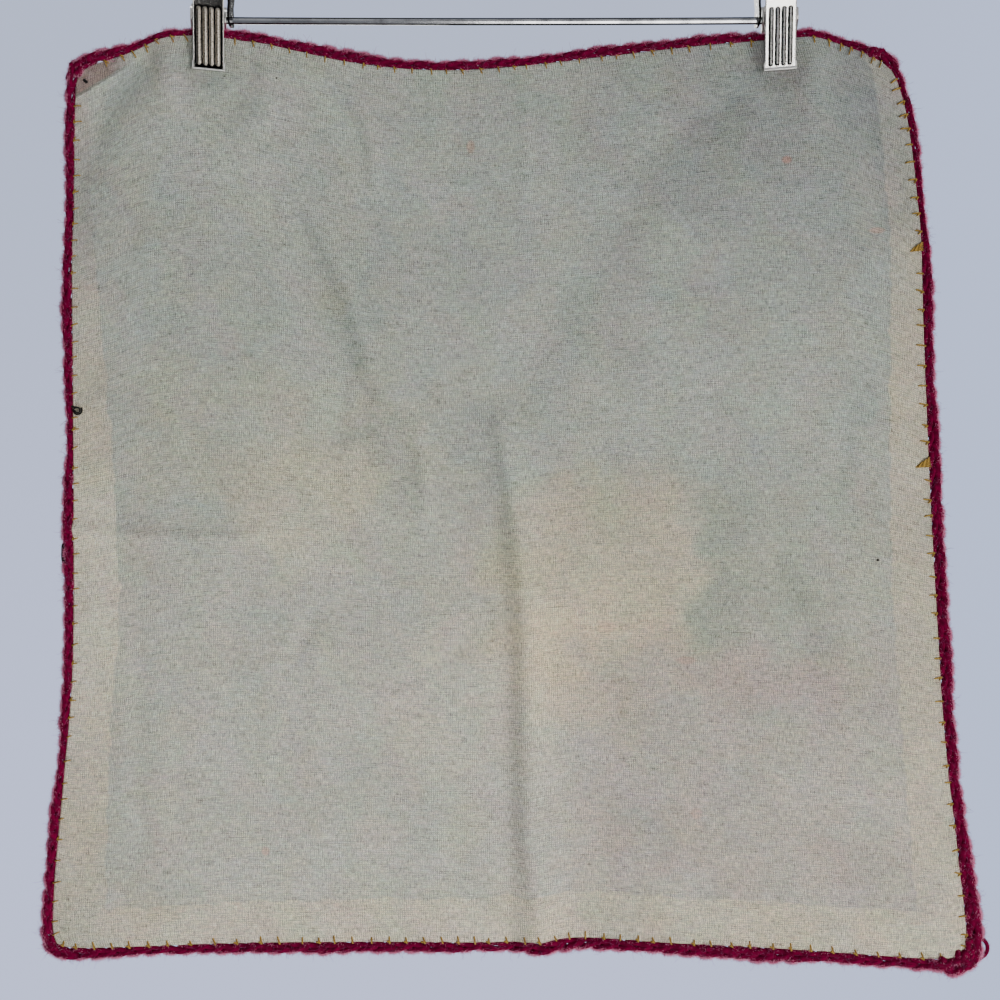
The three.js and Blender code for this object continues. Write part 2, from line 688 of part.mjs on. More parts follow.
function springSolid(turn) {
  const { coilRadius, turns, halfLength, legX, legHeight, legReach } = SPRING;
  const legEnd = (hand) =>
    new THREE.Vector3(hand * legX, hand * legReach, legHeight).applyAxisAngle(new THREE.Vector3(0, 0, 1), turn);
  const points = [legEnd(-1), new THREE.Vector3(-halfLength, -coilRadius - 0.6, 2.6)];
  const steps = turns * STEPS_PER_TURN;
  for (let i = 0; i <= steps; i += 1) {
    const angle = Math.PI + (2 * Math.PI * i) / STEPS_PER_TURN + (Math.PI * i) / steps;
    const x = THREE.MathUtils.lerp(-halfLength, halfLength, i / steps);
    points.push(new THREE.Vector3(x, coilRadius * Math.cos(angle), coilRadius * Math.sin(angle)));
  }
  points.push(new THREE.Vector3(halfLength, coilRadius + 0.6, 2.6), legEnd(1));
  return wireAlong(new THREE.CatmullRomCurve3(points), SPRING.wire, 5, steps + 18);
}

for (const { side, x, turn } of CLIPS) {
  const onBar = place3(x, barHeightAt(x));
  const clip = new THREE.Group();
  clip.position.copy(onBar);
  clip.rotation.z = turn;
  group.add(clip);
  const frontSpread = JAW.width;
  const backSpread = JAW.width + 2 * (JAW.thickness + GAP);
  const slotHalf = (spread) => (spread / 2) * Math.tan(Math.abs(turn));

  const front = addPart(`clip_${side}_front_jaw`, jawSolid(frontSpread, slotHalf(frontSpread)), nickel, clip);
  front.rotation.x = jawLean;

  const back = addPart(`clip_${side}_back_jaw`, jawSolid(backSpread, slotHalf(backSpread)), nickel, clip);
  back.rotation.set(jawLean, 0, Math.PI, 'ZXY');

  const spring = addPart(`clip_${side}_spring`, springSolid(turn), nickel);
  spring.position.copy(onBar);
}

export default group;
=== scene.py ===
# Square arpillera cloth with a crochet edging, gripped by the two clips of a wire hanger.
# Metres, +Z up, the viewer in front at -Y, looking at the cloth's reverse side.
import math

import bpy
import numpy as np
from mathutils import Matrix, Vector


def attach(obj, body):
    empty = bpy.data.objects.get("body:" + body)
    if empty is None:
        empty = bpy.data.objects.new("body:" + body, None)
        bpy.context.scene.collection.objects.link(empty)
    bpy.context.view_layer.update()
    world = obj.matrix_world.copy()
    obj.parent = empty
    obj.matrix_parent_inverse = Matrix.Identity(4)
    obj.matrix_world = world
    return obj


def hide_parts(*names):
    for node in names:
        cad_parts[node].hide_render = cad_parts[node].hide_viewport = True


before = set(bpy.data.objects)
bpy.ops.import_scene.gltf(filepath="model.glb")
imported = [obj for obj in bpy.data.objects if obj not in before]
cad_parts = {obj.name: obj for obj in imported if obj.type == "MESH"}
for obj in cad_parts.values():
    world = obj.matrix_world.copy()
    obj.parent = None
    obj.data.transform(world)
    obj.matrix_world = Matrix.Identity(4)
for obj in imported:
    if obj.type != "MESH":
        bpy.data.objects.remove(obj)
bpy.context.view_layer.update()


# Backing cloth
# One square of unbleached cotton, seen from its reverse side. Its two sides and its foot are
# turned to the far side in a hem, its top is the selvedge, and the two clips grip it there.
MM = 0.001
BAR_DROP = 150  # the bar below the hang point; all lengths in the tables are in mm

# The outline as it is seen against the bar's plane, in mm from the hook's centre line and below
# the bar, clockwise
TOP_LEFT, TOP_RIGHT = (-208.5, 25.5), (199.5, 24.5)
FOOT_RIGHT, FOOT_LEFT = (236.6, 469), (-220.3, 463)
TOP_SIDE = [
    (-188, 18.5), (-170.5, 10.8), (-157, 7.8), (-143, 7.8), (-122, 10.7), (-98, 15.5), (-74, 20.6),
    (-45, 24.2), (-15, 24.9), (20, 22.2), (55, 18.2), (95, 13.6), (128, 10.6), (144, 9.4),
    (160, 8.4), (176, 13.2), (188, 18),
]
RIGHT_SIDE = [
    (206, 47.5), (212.2, 96), (214.4, 150), (217.2, 222), (221.2, 297), (225.5, 362), (231.5, 415),
]
FOOT_SIDE = [
    (190, 467.2), (128, 463), (78, 460.4), (40, 458.3), (10, 460.4), (-45, 460.5), (-120, 461),
    (-183, 463),
]
LEFT_SIDE = [
    (-220, 435), (-215, 378), (-211, 330), (-210.2, 262), (-210.5, 190), (-211, 120), (-209.8, 60),
]
CORNER_RADIUS = 7

# Folds: from, by and to are places, halfWidth and depth are mm, and a plus depth is a trough
FOLDS = [
    ((-112, 60), (-90, 130), (-72, 200), 12, 2.6),  # down from the left clip
    ((-140, 60), (-135, 140), (-120, 230), 38, -5),  # swell beside it
    ((-176, 20), (-200, 52), (-210, 95), 14, 3.2),  # left clip to left side
    ((126, 40), (60, 90), (6, 190), 22, 1.6),  # right clip to the middle
    ((160, 35), (178, 55), (195, 90), 14, 3),  # right clip to right side
    ((3, 205), (16, 300), (21, 466), 11, -3.4),  # upright crease, middle to foot
    ((-213, 254), (-165, 258), (-118, 258.5), 5, -1.5),  # level crease at the left
    ((146, 262), (150, 285), (153, 306), 14, 3),  # dent at the right
    ((43, 330), (44, 400), (45, 480), 40, 5),  # hollow beside the crease
    ((170, 370), (205, 420), (232, 480), 60, -7),  # right foot corner swings out
    ((-180, 390), (-205, 430), (-222, 470), 50, -4),  # left foot corner
]
# Creases are pressed sharper and shallower than folds. A minus depth stands towards the viewer
CREASES = [
    # down from the left clip
    ((-97, 22), (-69, 40), (-61.5, 80), 4, -1.4),
    ((-90, 46), (-83, 57), (-72, 75), 4.5, -1.2),
    ((-113, 68), (-90, 102), (-69, 150), 5, -1.6),
    ((-66.5, 157), (-65, 164), (-64, 170), 5, -1.6),
    ((-62, 177), (-50, 190), (-41, 203), 5.5, -1.8),
    ((-38, 210), (-35.5, 222), (-35.5, 246), 4.5, -1.4),
    ((-72, 188), (-71, 200), (-71, 214), 4, -1.0),
    ((-78, 204), (-73, 222), (-71, 240), 4.5, -0.7),
    # beside the left edge
    ((-210, 254), (-165, 257.8), (-122, 258.2), 2, -1.1),
    ((-192, 223), (-165, 231), (-131, 246), 4, -0.8),
    ((-176, 23), (-192.5, 46), (-203.5, 75), 9, 1.2),
    # short pleats under the top edge
    ((-32, 26), (-32.5, 42), (-31, 60), 2.2, -0.5),
    ((-8, 26), (-7.5, 44), (-7, 66), 2.2, -0.5),
    ((14, 26), (16, 50), (15, 84), 3, -0.6),
    # down from the right clip
    ((126, 36), (84, 62), (70, 92), 9, 0.9),
    ((70, 92), (42, 134), (9, 186), 12, 0.7),
    ((166, 22), (182, 40), (192, 70), 11, 1.2),
    ((150, 24), (124, 36), (98, 49), 6, 0.3),
    ((176, 193), (174, 212), (169, 231), 6, 1.1),
    # the upright crease and its neighbours
    ((1.5, 200), (6, 222), (9.4, 243.5), 3.2, -0.8),
    ((10.8, 251), (14.5, 285), (16.1, 316.5), 4.5, -1.3),
    ((16.6, 325), (17, 370), (16.5, 401), 6.5, -1.9),
    ((16.9, 410), (19, 427), (25, 460), 5, -1.4),
    ((-3, 205), (1, 245), (5.2, 296), 5, 0.8),
    ((5.7, 305), (7, 370), (9, 464), 6, 1.3),
    ((27, 356), (29, 385), (31, 417), 2.4, -0.7),
    ((-6.5, 286), (-3.5, 298), (-1.5, 309), 2.6, 0.8),
    # dents
    ((140, 270), (147, 290), (156, 304), 5, 1.4),
    ((-99, 318), (-95, 308), (-90, 298), 4, 1.1),
    ((-84, 322), (-47, 331), (-16, 312), 4, 0.8),
    ((-70, 332), (-47, 338), (-26, 326), 4, -0.6),
    ((-60, 345), (-40, 340), (-20, 322), 4, 0.5),
    ((-81, 359), (-68, 365), (-56, 363), 4, 0.5),
    ((-21, 420), (-14, 428), (-6, 437), 5, 0.8),
    ((-176, 315), (-176, 365), (-174, 410), 4, 0.6),
    ((-157, 350), (-158, 380), (-156, 400), 4, 0.4),
    ((-13, 240), (6, 246), (30, 244), 3, 0.4),
    ((60, 120), (95, 128), (140, 118), 9, 0.5),
    ((-150, 180), (-130, 190), (-100, 186), 9, 0.5),
    ((80, 200), (120, 212), (165, 205), 9, 0.5),
    ((-180, 300), (-140, 312), (-110, 306), 7, 0.4),
    ((60, 390), (110, 400), (170, 392), 9, 0.5),
]
CLIP_X, CLIP_TURNS = 142.8, (14, -11)  # degrees that the left and the right clip are turned
SWAG_DEPTH, SWAG_FADE = 14, 170
# How far from a clip's middle line and below the bar its grip starts to fade, and where it ends
HELD_ACROSS, HELD_DOWN = (11, 30), (34, 70)
# The slanting crease of the folded corner: a place on it, and the way across it
CREASE_X, CREASE_DROP, CREASE_WAY = -204.9, 39.35, (0.575, 0.818)


def blended(value, low, high):
    share = np.clip((value - low) / (high - low), 0, 1)
    return share * share * (3 - 2 * share)


def fold_line(start, by, end, steps=10):
    start, by, end = (np.array(place, float) for place in (start, by, end))
    pull = 2 * by - (start + end) / 2
    share = np.linspace(0, 1, steps + 1)[:, None]
    return (1 - share) ** 2 * start + 2 * share * (1 - share) * pull + share**2 * end


def apart_from(line, x, drop):
    """Distance in mm from a line of short straight steps."""
    nearest = np.full(np.shape(x), np.inf)
    for (x0, d0), (x1, d1) in zip(line, line[1:]):
        run, rise = x1 - x0, d1 - d0
        share = np.clip(((x - x0) * run + (drop - d0) * rise) / (run**2 + rise**2), 0, 1)
        nearest = np.minimum(nearest, np.hypot(x - x0 - share * run, drop - d0 - share * rise))
    return nearest


def past_crease(x, drop):
    """How far a place lies beyond the crease of the folded corner, in mm."""
    return (CREASE_X - x) * CREASE_WAY[0] + (CREASE_DROP - drop) * CREASE_WAY[1]


def cloth_depth(x, drop):
    """How far the cloth's middle lies behind the bar's plane, in mm."""
    across = np.clip(x / CLIP_X, -1.5, 1.5)
    fade = np.exp(-np.maximum(0, drop - 8) / SWAG_FADE)
    depth = SWAG_DEPTH * np.cos(math.pi / 2 * across) * fade
    for start, by, end, half_width, fold_depth in FOLDS + CREASES:
        apart = apart_from(fold_line(start, by, end), x, drop)
        depth = depth + fold_depth * np.exp(-((apart / half_width) ** 2))
    # the top left corner is folded over, towards the viewer
    folded_over = 0.3 * np.logaddexp(0, past_crease(x, drop) * 1.5) / 1.5
    depth = depth - folded_over * (1 - blended(x, -198, -172))
    for side, turn in zip((-CLIP_X, CLIP_X), CLIP_TURNS):
        held = (1 - blended(abs(x - side), *HELD_ACROSS)) * (1 - blended(drop, *HELD_DOWN))
        depth = depth + held * ((x - side) * math.tan(math.radians(turn)) - depth)
    return depth


# The viewer's eye: in front of the bar's plane, right of the hook's line and below the bar, mm
VIEWER_AWAY, VIEWER_X, VIEWER_DROP = 520, 2.9, 239.75


def from_seen(places):
    """Moves places that were read in the bar's plane to where the cloth lies."""
    seen = np.array(places, float)
    eye = np.array([VIEWER_X, VIEWER_DROP])
    real = seen
    for _ in range(4):
        depth = cloth_depth(real[:, 0], real[:, 1])[:, None]
        real = eye + (seen - eye) * (VIEWER_AWAY + depth) / VIEWER_AWAY
    return real


class ClothSide:
    """One edge of the cloth: a smooth line from corner to corner."""

    def __init__(self, places, steps=60):
        places = from_seen(places)
        knots = np.vstack([2 * places[0] - places[1], places, 2 * places[-1] - places[-2]])
        t = np.linspace(0, 1, steps, endpoint=False)[:, None]
        runs = []
        for a, b, c, d in zip(knots, knots[1:], knots[2:], knots[3:]):
            before, here, after = (math.sqrt(math.dist(*pair)) for pair in ((a, b), (b, c), (c, d)))
            leave = here * ((b - a) / before - (c - a) / (before + here) + (c - b) / here)
            arrive = here * ((c - b) / here - (d - b) / (here + after) + (d - c) / after)
            bend, twist = 3 * (c - b) - 2 * leave - arrive, 2 * (b - c) + leave + arrive
            runs.append(b + leave * t + bend * t**2 + twist * t**3)
        self.line = np.vstack([*runs, places[-1:]])
        steps_long = np.linalg.norm(np.diff(self.line, axis=0), axis=1)
        self.along = np.concatenate([[0], np.cumsum(steps_long)])
        self.length = self.along[-1]

    def at(self, share):
        run = np.asarray(share) * self.length
        return np.stack([np.interp(run, self.along, self.line[:, i]) for i in (0, 1)], axis=-1)

    def share_at(self, value, axis):
        """The share of the side's length where its x (axis 0) or drop (axis 1) is value."""
        reached = self.line[:, axis]
        rising = reached[-1] > reached[0]
        order = slice(None) if rising else slice(None, None, -1)
        return np.interp(value, reached[order], self.along[order]) / self.length


def cut_corner(before, corner, after):
    corner = np.array(corner, float)
    towards = [np.array(place) - corner for place in (before, after)]
    arrive, leave = (corner + step * CORNER_RADIUS / np.linalg.norm(step) for step in towards)
    return arrive, (arrive + 2 * corner + leave) / 4, leave


corners = {
    "top_left": cut_corner(LEFT_SIDE[-1], TOP_LEFT, TOP_SIDE[0]),
    "top_right": cut_corner(TOP_SIDE[-1], TOP_RIGHT, RIGHT_SIDE[0]),
    "foot_right": cut_corner(RIGHT_SIDE[-1], FOOT_RIGHT, FOOT_SIDE[0]),
    "foot_left": cut_corner(FOOT_SIDE[-1], FOOT_LEFT, LEFT_SIDE[0]),
}


def between(start, places, end):
    start, end = corners[start], corners[end]
    return ClothSide([start[1], start[2], *places, end[0], end[1]])


sides = {
    "top": between("top_left", TOP_SIDE, "top_right"),
    "right": between("top_right", RIGHT_SIDE, "foot_right"),
    "foot": between("foot_right", FOOT_SIDE, "foot_left"),
    "left": between("foot_left", LEFT_SIDE, "top_left"),
}


def within_outline(across, down):
    """Places inside the outline, blended from its four sides."""
    a, d = across[..., None], down[..., None]
    shared = (1 - d) * sides["top"].at(across) + d * sides["foot"].at(1 - across)
    shared = shared + (1 - a) * sides["left"].at(1 - down) + a * sides["right"].at(down)
    top = (1 - a) * sides["top"].line[0] + a * sides["top"].line[-1]
    foot = (1 - a) * sides["foot"].line[-1] + a * sides["foot"].line[0]
    return shared - (1 - d) * top - d * foot


CLOTH_HALF, HEM_WIDTH, HEM_LAYER = 1.0, 19, 0.8
RIM = 0.9  # mm taken up by the rounded rim, and by the step at the hem's inner edge
THREAD_GRID = 1.85  # mm between the near side's rows; the far side has every second one
# How far in from each edge the doubled cloth shows paler, as (drop or x, mm)
HEM_LEFT = [(27, 7), (75, 9), (150, 15), (225, 20.5), (290, 23), (340, 20.5), (440, 24)]
HEM_RIGHT = [(27, 16), (125, 17), (220, 20), (290, 22), (325, 21.5), (440, 22)]
HEM_FOOT = [(-210, 18), (-63, 21), (26, 22.5), (220, 22)]


def grid_lines(length, marks):
    """Shares of a length, evenly spread between marks that are given in mm."""
    marks = [0, *marks, length]
    runs = [
        np.linspace(a, b, max(1, round((b - a) / THREAD_GRID / 2)) * 2, endpoint=False)
        for a, b in zip(marks, marks[1:])
    ]
    return np.concatenate([*runs, [length]]) / length


def band(table, value):
    return np.interp(value, *zip(*table))


def tint(red, green, blue):
    """A colour as a screen shows it, 0 to 255, as the linear values that a shader takes."""
    shares = [value / 255 for value in (red, green, blue)]
    return (*(s / 12.92 if s <= 0.04045 else ((s + 0.055) / 1.055) ** 2.4 for s in shares), 1.0)


# the second colour is the hem's painted shade towards the top
CREAM, SHADED_HEM, BODY = tint(222, 214, 192), tint(195, 195, 186), tint(211, 211, 196)
FLAT_SIZE, THREAD_PITCH = 460.0, 1.07  # mm, the flat cloth's side and its threads' spacing
# What shows through from the far side, and at the top right a grey patch that is also painted
# shade: x, drop, half sizes in mm, soft edge as a share, round or not, colour, strength
SHOW_THROUGH_AND_SHADE = [
    (-10, 120, 230, 135, 0.14, False, tint(199, 204, 193), 0.95),
    # the top right: the far side showing through, and painted shade
    (150, 50, 84, 62, 0.6, True, tint(166, 170, 168), 0.85),
    (60, 90, 150, 60, 0.6, True, tint(192, 198, 191), 0.5),
    (-125, 208, 62, 34, 0.35, False, tint(214, 214, 192), 0.6),
    (-60, 225, 40, 34, 0.45, False, tint(208, 208, 188), 0.6),
    (56, 290, 64, 66, 0.3, True, tint(220, 211, 184), 0.85),
    (50, 318, 40, 30, 0.5, True, tint(240, 223, 192), 0.95),
    (128, 272, 27, 38, 0.3, False, tint(186, 192, 176), 0.85),
    (128, 374, 84, 62, 0.2, False, tint(210, 202, 190), 0.75),
    (150, 330, 50, 14, 0.5, True, tint(216, 190, 184), 0.4),
    (60, 400, 60, 40, 0.5, True, tint(212, 202, 192), 0.5),
    (-120, 350, 80, 84, 0.35, False, tint(213, 213, 200), 0.7),
    (-97, 140, 46, 46, 0.6, True, tint(188, 194, 182), 0.6),
    (-22, 340, 40, 40, 0.6, True, tint(228, 222, 204), 0.5),
    (-97, 240, 32, 30, 0.6, True, tint(226, 218, 190), 0.6),
    (-172, 425, 30, 30, 0.6, True, tint(204, 203, 188), 0.7),
    (150, 428, 90, 26, 0.6, True, tint(208, 196, 184), 0.5),
    (178, 275, 30, 60, 0.6, True, tint(200, 202, 186), 0.5),
]
# Paler stretches of the hem, and at the top left a grey one of painted shade, in the same terms
HEM_TINTS_AND_SHADE = [
    # painted shade at the top left of the hem
    (-205, 60, 30, 44, 0.5, True, tint(180, 180, 170), 0.3),
    (30, 455, 60, 20, 0.5, True, tint(214, 205, 186), 0.6),
    (-199, 440, 30, 26, 0.5, True, tint(212, 206, 186), 0.7),
    (206, 300, 30, 110, 0.5, True, tint(216, 208, 186), 0.5),
    (-190, 300, 30, 75, 0.5, True, tint(240, 233, 213), 0.8),
    (-75, 455, 95, 20, 0.5, True, tint(242, 235, 215), 0.3),
]
# Small marks and the clips' painted grey shadows: x, drop, half sizes in mm, colour, strength
SPECKS_AND_CLIP_SHADOWS = [
    (-12, 60, 2.2, 3.5, tint(214, 160, 136), 0.4), (146, 70, 2.5, 2, tint(220, 150, 130), 0.5),
    (190, 106, 4, 1.6, tint(222, 160, 140), 0.4), (96, 320, 5, 2, tint(226, 160, 150), 0.3),
    (56, 304, 5, 3, tint(226, 170, 150), 0.3), (-114, 415, 2.2, 2.2, tint(226, 160, 140), 0.4),
    (101, 396, 3, 3, tint(224, 170, 150), 0.3), (-135.1, 27.5, 0.5, 0.5, tint(30, 26, 24), 0.9),
    (-109.3, 27.9, 0.6, 0.5, tint(30, 26, 24), 0.9),
    (190.7, 269.6, 0.8, 0.7, tint(20, 18, 18), 0.95), (-69, 178, 0.5, 0.5, tint(60, 60, 60), 0.6),
    # painted shadows round the two clips
    (-CLIP_X, 20, 15, 17, tint(120, 118, 112), 0.35),
    (CLIP_X, 20, 15, 17, tint(120, 118, 112), 0.35),
]


def waves(across, down, longest, shortest, seed):
    """Uneven patches, about -1 to 1: waves of many lengths laid over one another."""
    roll = np.random.default_rng(seed)
    total = 0
    for length in np.geomspace(longest, shortest, 12):
        way = roll.uniform(0, math.pi)
        run = across * math.cos(way) + down * math.sin(way)
        wave = np.sin(run * 2 * math.pi / length + roll.uniform(0, 2 * math.pi))
        total = total + wave * math.sqrt(length / longest) / 3
    return total


def tinted(under, patches, x, drop):
    """Colours with soft-edged patches laid over them, their edges wandering a little."""
    x, drop = x + 7 * waves(x, drop, 60, 12, 1), drop + 6 * waves(x, drop, 60, 12, 2)
    for at_x, at_drop, half_x, half_drop, soft, is_round, shade, strength in patches:
        off_x, off_drop = abs(x - at_x) / half_x, abs(drop - at_drop) / half_drop
        reach = np.hypot(off_x, off_drop) if is_round else np.maximum(off_x, off_drop)
        share = strength * (1 - blended(reach, 1 - soft, 1 + soft))[..., None]
        under = under + share * (np.array(shade[:3]) - under)
    # broad faint stains in every tint
    stains = [waves(x, drop, 50, 8, 3 + i) * (0.04, 0.028, 0.034)[i] for i in range(3)]
    return under * (1 + np.stack(stains, axis=-1) + 0.05 * waves(x, drop, 90, 9, 6)[..., None])


def cloth_mesh():
    width, height = sides["top"].length, sides["left"].length
    hem_in = HEM_WIDTH + RIM
    columns = grid_lines(
        width, [RIM, HEM_WIDTH, hem_in, width - hem_in, width - HEM_WIDTH, width - RIM])
    rows = grid_lines(height, [RIM, height - hem_in, height - HEM_WIDTH, height - RIM])
    across, down = np.meshgrid(columns, rows)
    x, drop = np.moveaxis(within_outline(across, down), -1, 0)
    middle = cloth_depth(x, drop)
    folded = (across <= HEM_WIDTH / width + 1e-6) | (across >= 1 - HEM_WIDTH / width - 1e-6)
    folded |= down >= 1 - HEM_WIDTH / height - 1e-6
    rim = (across == 0) | (across == 1) | (down == 0) | (down == 1)
    half = np.where(rim, 0.45 * CLOTH_HALF, CLOTH_HALF)
    near = np.stack([x, middle - half, -BAR_DROP - drop], axis=-1).reshape(-1, 3)
    hem = np.where(folded, HEM_LAYER, 0) * np.where(rim, 0.5, 1)
    far = np.stack([x, middle + half + hem, -BAR_DROP - drop], axis=-1)[::2, ::2].reshape(-1, 3)
    count = len(near)
    grid = np.arange(count).reshape(across.shape)
    far_grid = np.arange(len(far)).reshape(across[::2, ::2].shape) + count

    def both_sides(values, size):
        """Values for the near side's points and then the far side's, every second row."""
        return np.vstack([values.reshape(-1, size), values[::2, ::2].reshape(-1, size)])

    def panes(numbers):
        a, b, c, d = numbers[:-1, :-1], numbers[1:, :-1], numbers[1:, 1:], numbers[:-1, 1:]
        return np.stack([a, b, c, d], axis=-1).reshape(-1, 4)

    def border(numbers):
        runs = (numbers[0, :-1], numbers[:-1, -1], numbers[-1, :0:-1], numbers[:0:-1, 0])
        return np.concatenate(runs)

    front, back = panes(grid), panes(far_grid)[:, ::-1]
    near_rim, far_rim = border(grid), border(far_grid)
    first, half_way, onward = near_rim[::2], near_rim[1::2], np.roll(near_rim, -2)[::2]
    rim_faces = [
        *zip(first, half_way, far_rim), *zip(half_way, np.roll(far_rim, -1), far_rim),
        *zip(half_way, onward, np.roll(far_rim, -1)),
    ]
    mesh = bpy.data.meshes.new("backing_cloth_sheet")
    faces = [*front.tolist(), *back.tolist(), *np.array(rim_faces).tolist()]
    mesh.from_pydata((np.vstack([near, far]) * MM).tolist(), [], faces)
    mesh.polygons.foreach_set("use_smooth", [True] * len(faces))
    picture_side = np.zeros(len(faces), np.int32)
    picture_side[len(front):len(front) + len(back)] = 1
    mesh.polygons.foreach_set("material_index", picture_side)
    flat = mesh.uv_layers.new(name="flat_cloth")
    corner_points = np.zeros(len(mesh.loops), np.int32)
    mesh.loops.foreach_get("vertex_index", corner_points)
    laid_out = both_sides(np.stack([across, 1 - down], axis=-1), 2)
    flat.data.foreach_set("uv", laid_out[corner_points].astype(np.float32).ravel())
    inside = np.minimum.reduce([
        across * width - band(HEM_LEFT, drop),
        (1 - across) * width - band(HEM_RIGHT, drop),
        (1 - down) * height - band(HEM_FOOT, x),
    ])
    inside = inside + 0.9 * waves(x, drop, 24, 5, 7)
    hem_line = mesh.attributes.new("inside_hem", "FLOAT", "POINT")
    hem_line.data.foreach_set("value", both_sides(inside, 1).astype(np.float32).ravel())
    # painted shade: the hem is darker and greyer towards the top
    dull = (0.95 * (1 - blended(drop + x * 0.1, 60, 200)))[..., None]
    hem_colour = np.array(CREAM[:3]) * (1 - dull) + np.array(SHADED_HEM[:3]) * dull
    body_colour = np.broadcast_to(np.array(BODY[:3]), hem_colour.shape)
    for label, under, patches in (
        ("body_tint", body_colour, SHOW_THROUGH_AND_SHADE), ("hem_tint", hem_colour, HEM_TINTS_AND_SHADE),
    ):
        shades = both_sides(tinted(under, patches, x, drop), 3)
        kept = mesh.attributes.new(label, "FLOAT_VECTOR", "POINT")
        kept.data.foreach_set("vector", shades.astype(np.float32).ravel())
    mesh.update()
    return mesh


def placed(name, mesh):
    piece = bpy.data.objects.new(name, mesh)
    bpy.context.scene.collection.objects.link(piece)
    return piece


class Term:
    """A number inside a node tree, so that a pattern is written as plain sums."""

    def __init__(self, wiring, socket):
        self.wiring, self.socket = wiring, socket

    def __add__(self, other): return self.wiring.math("ADD", self, other)
    def __sub__(self, other): return self.wiring.math("SUBTRACT", self, other)
    def __mul__(self, other): return self.wiring.math("MULTIPLY", self, other)
    def __truediv__(self, other): return self.wiring.math("DIVIDE", self, other)
    def __pow__(self, other): return self.wiring.math("POWER", self, other)
    def __rsub__(self, other): return self.wiring.math("SUBTRACT", other, self)
    __radd__, __rmul__ = __add__, __mul__


class Wiring:
    """Adds nodes to a tree and joins them."""

    def __init__(self, tree):
        self.tree = tree

    def feed(self, socket, value):
        if isinstance(value, Term):
            value = value.socket
        if isinstance(value, bpy.types.NodeSocket):
            self.tree.links.new(value, socket)
        else:
            socket.default_value = value

    def add(self, kind, inputs=(), **settings):
        node = self.tree.nodes.new(kind)
        for name, value in settings.items():
            setattr(node, name, value)
        for socket, value in dict(inputs).items():
            self.feed(node.inputs[socket], value)
        return node

    def math(self, operation, *values):
        node = self.add("ShaderNodeMath", dict(enumerate(values)), operation=operation)
        return Term(self, node.outputs[0])

    def vector(self, operation, *values, result=0):
        node = self.add("ShaderNodeVectorMath", dict(enumerate(values)), operation=operation)
        return node.outputs[result]

    def spread(self, vector):
        """A vector's three numbers."""
        parts = self.add("ShaderNodeSeparateXYZ", {0: vector}).outputs
        return [Term(self, part) for part in parts]

    def join(self, x=0.0, y=0.0, z=0.0):
        return self.add("ShaderNodeCombineXYZ", {0: x, 1: y, 2: z}).outputs[0]

    def scaled(self, vector, scale):
        return self.add(
            "ShaderNodeVectorMath", {0: vector, "Scale": scale}, operation="SCALE").outputs[0]

    def mix(self, share, first, second):
        """A colour between two others."""
        node = self.add("ShaderNodeMix", {0: share, 6: first, 7: second}, data_type="RGBA")
        return node.outputs[2]

    def step(self, value, low, high, start=0.0, end=1.0):
        """A smooth rise from start at low to end at high."""
        node = self.add(
            "ShaderNodeMapRange", {0: value, 1: low, 2: high, 3: start, 4: end},
            interpolation_type="SMOOTHSTEP",
        )
        return Term(self, node.outputs[0])


class Finish(Wiring):
    """A procedural material. Whatever is the same all over is set on the surface itself."""

    def __init__(self, name, **surface):
        self.material = bpy.data.materials.new(name)
        self.material.use_nodes = True
        super().__init__(self.material.node_tree)
        self.surface = self.tree.nodes["Principled BSDF"]
        for label, value in surface.items():
            self.surface.inputs[label.replace("_", " ")].default_value = value

    def own_place(self):
        """Object coordinates, as millimetres."""
        place = self.add("ShaderNodeTexCoord").outputs["Object"]
        return self.vector("MULTIPLY", place, (1000.0, 1000.0, 1000.0))

    def attribute(self, name, kind):
        return self.add("ShaderNodeAttribute", attribute_name=name).outputs[kind]

    def noise(self, place, scale, detail=2.0, roughness=0.5, coloured=False):
        """Unevenness from 0 to 1, or in every tint."""
        value, tints = self.add(
            "ShaderNodeTexNoise",
            {"Vector": place, "Scale": scale, "Detail": detail, "Roughness": roughness},
        ).outputs
        return tints if coloured else Term(self, value)

    def plies(self):
        """The rise and fall of a yarn's two plies as they wind round it, -1 to 1."""
        cos, sin, _ = self.spread(self.attribute("ply_turn", "Vector"))
        phase = Term(self, self.attribute("ply_run", "Fac")) * (2 * math.pi)
        along, across = self.math("COSINE", phase), self.math("SINE", phase)
        return 2 * sin * cos * along + (cos * cos - sin * sin) * across

    def bump(self, height, distance, strength=1.0, normal=None):
        node = self.add(
            "ShaderNodeBump", {"Height": height, "Distance": distance, "Strength": strength}
        )
        if normal is not None:
            self.feed(node.inputs["Normal"], normal)
        return node.outputs["Normal"]

    def set(self, **sockets):
        for label, value in sockets.items():
            self.feed(self.surface.inputs[label.replace("_", " ")], value)


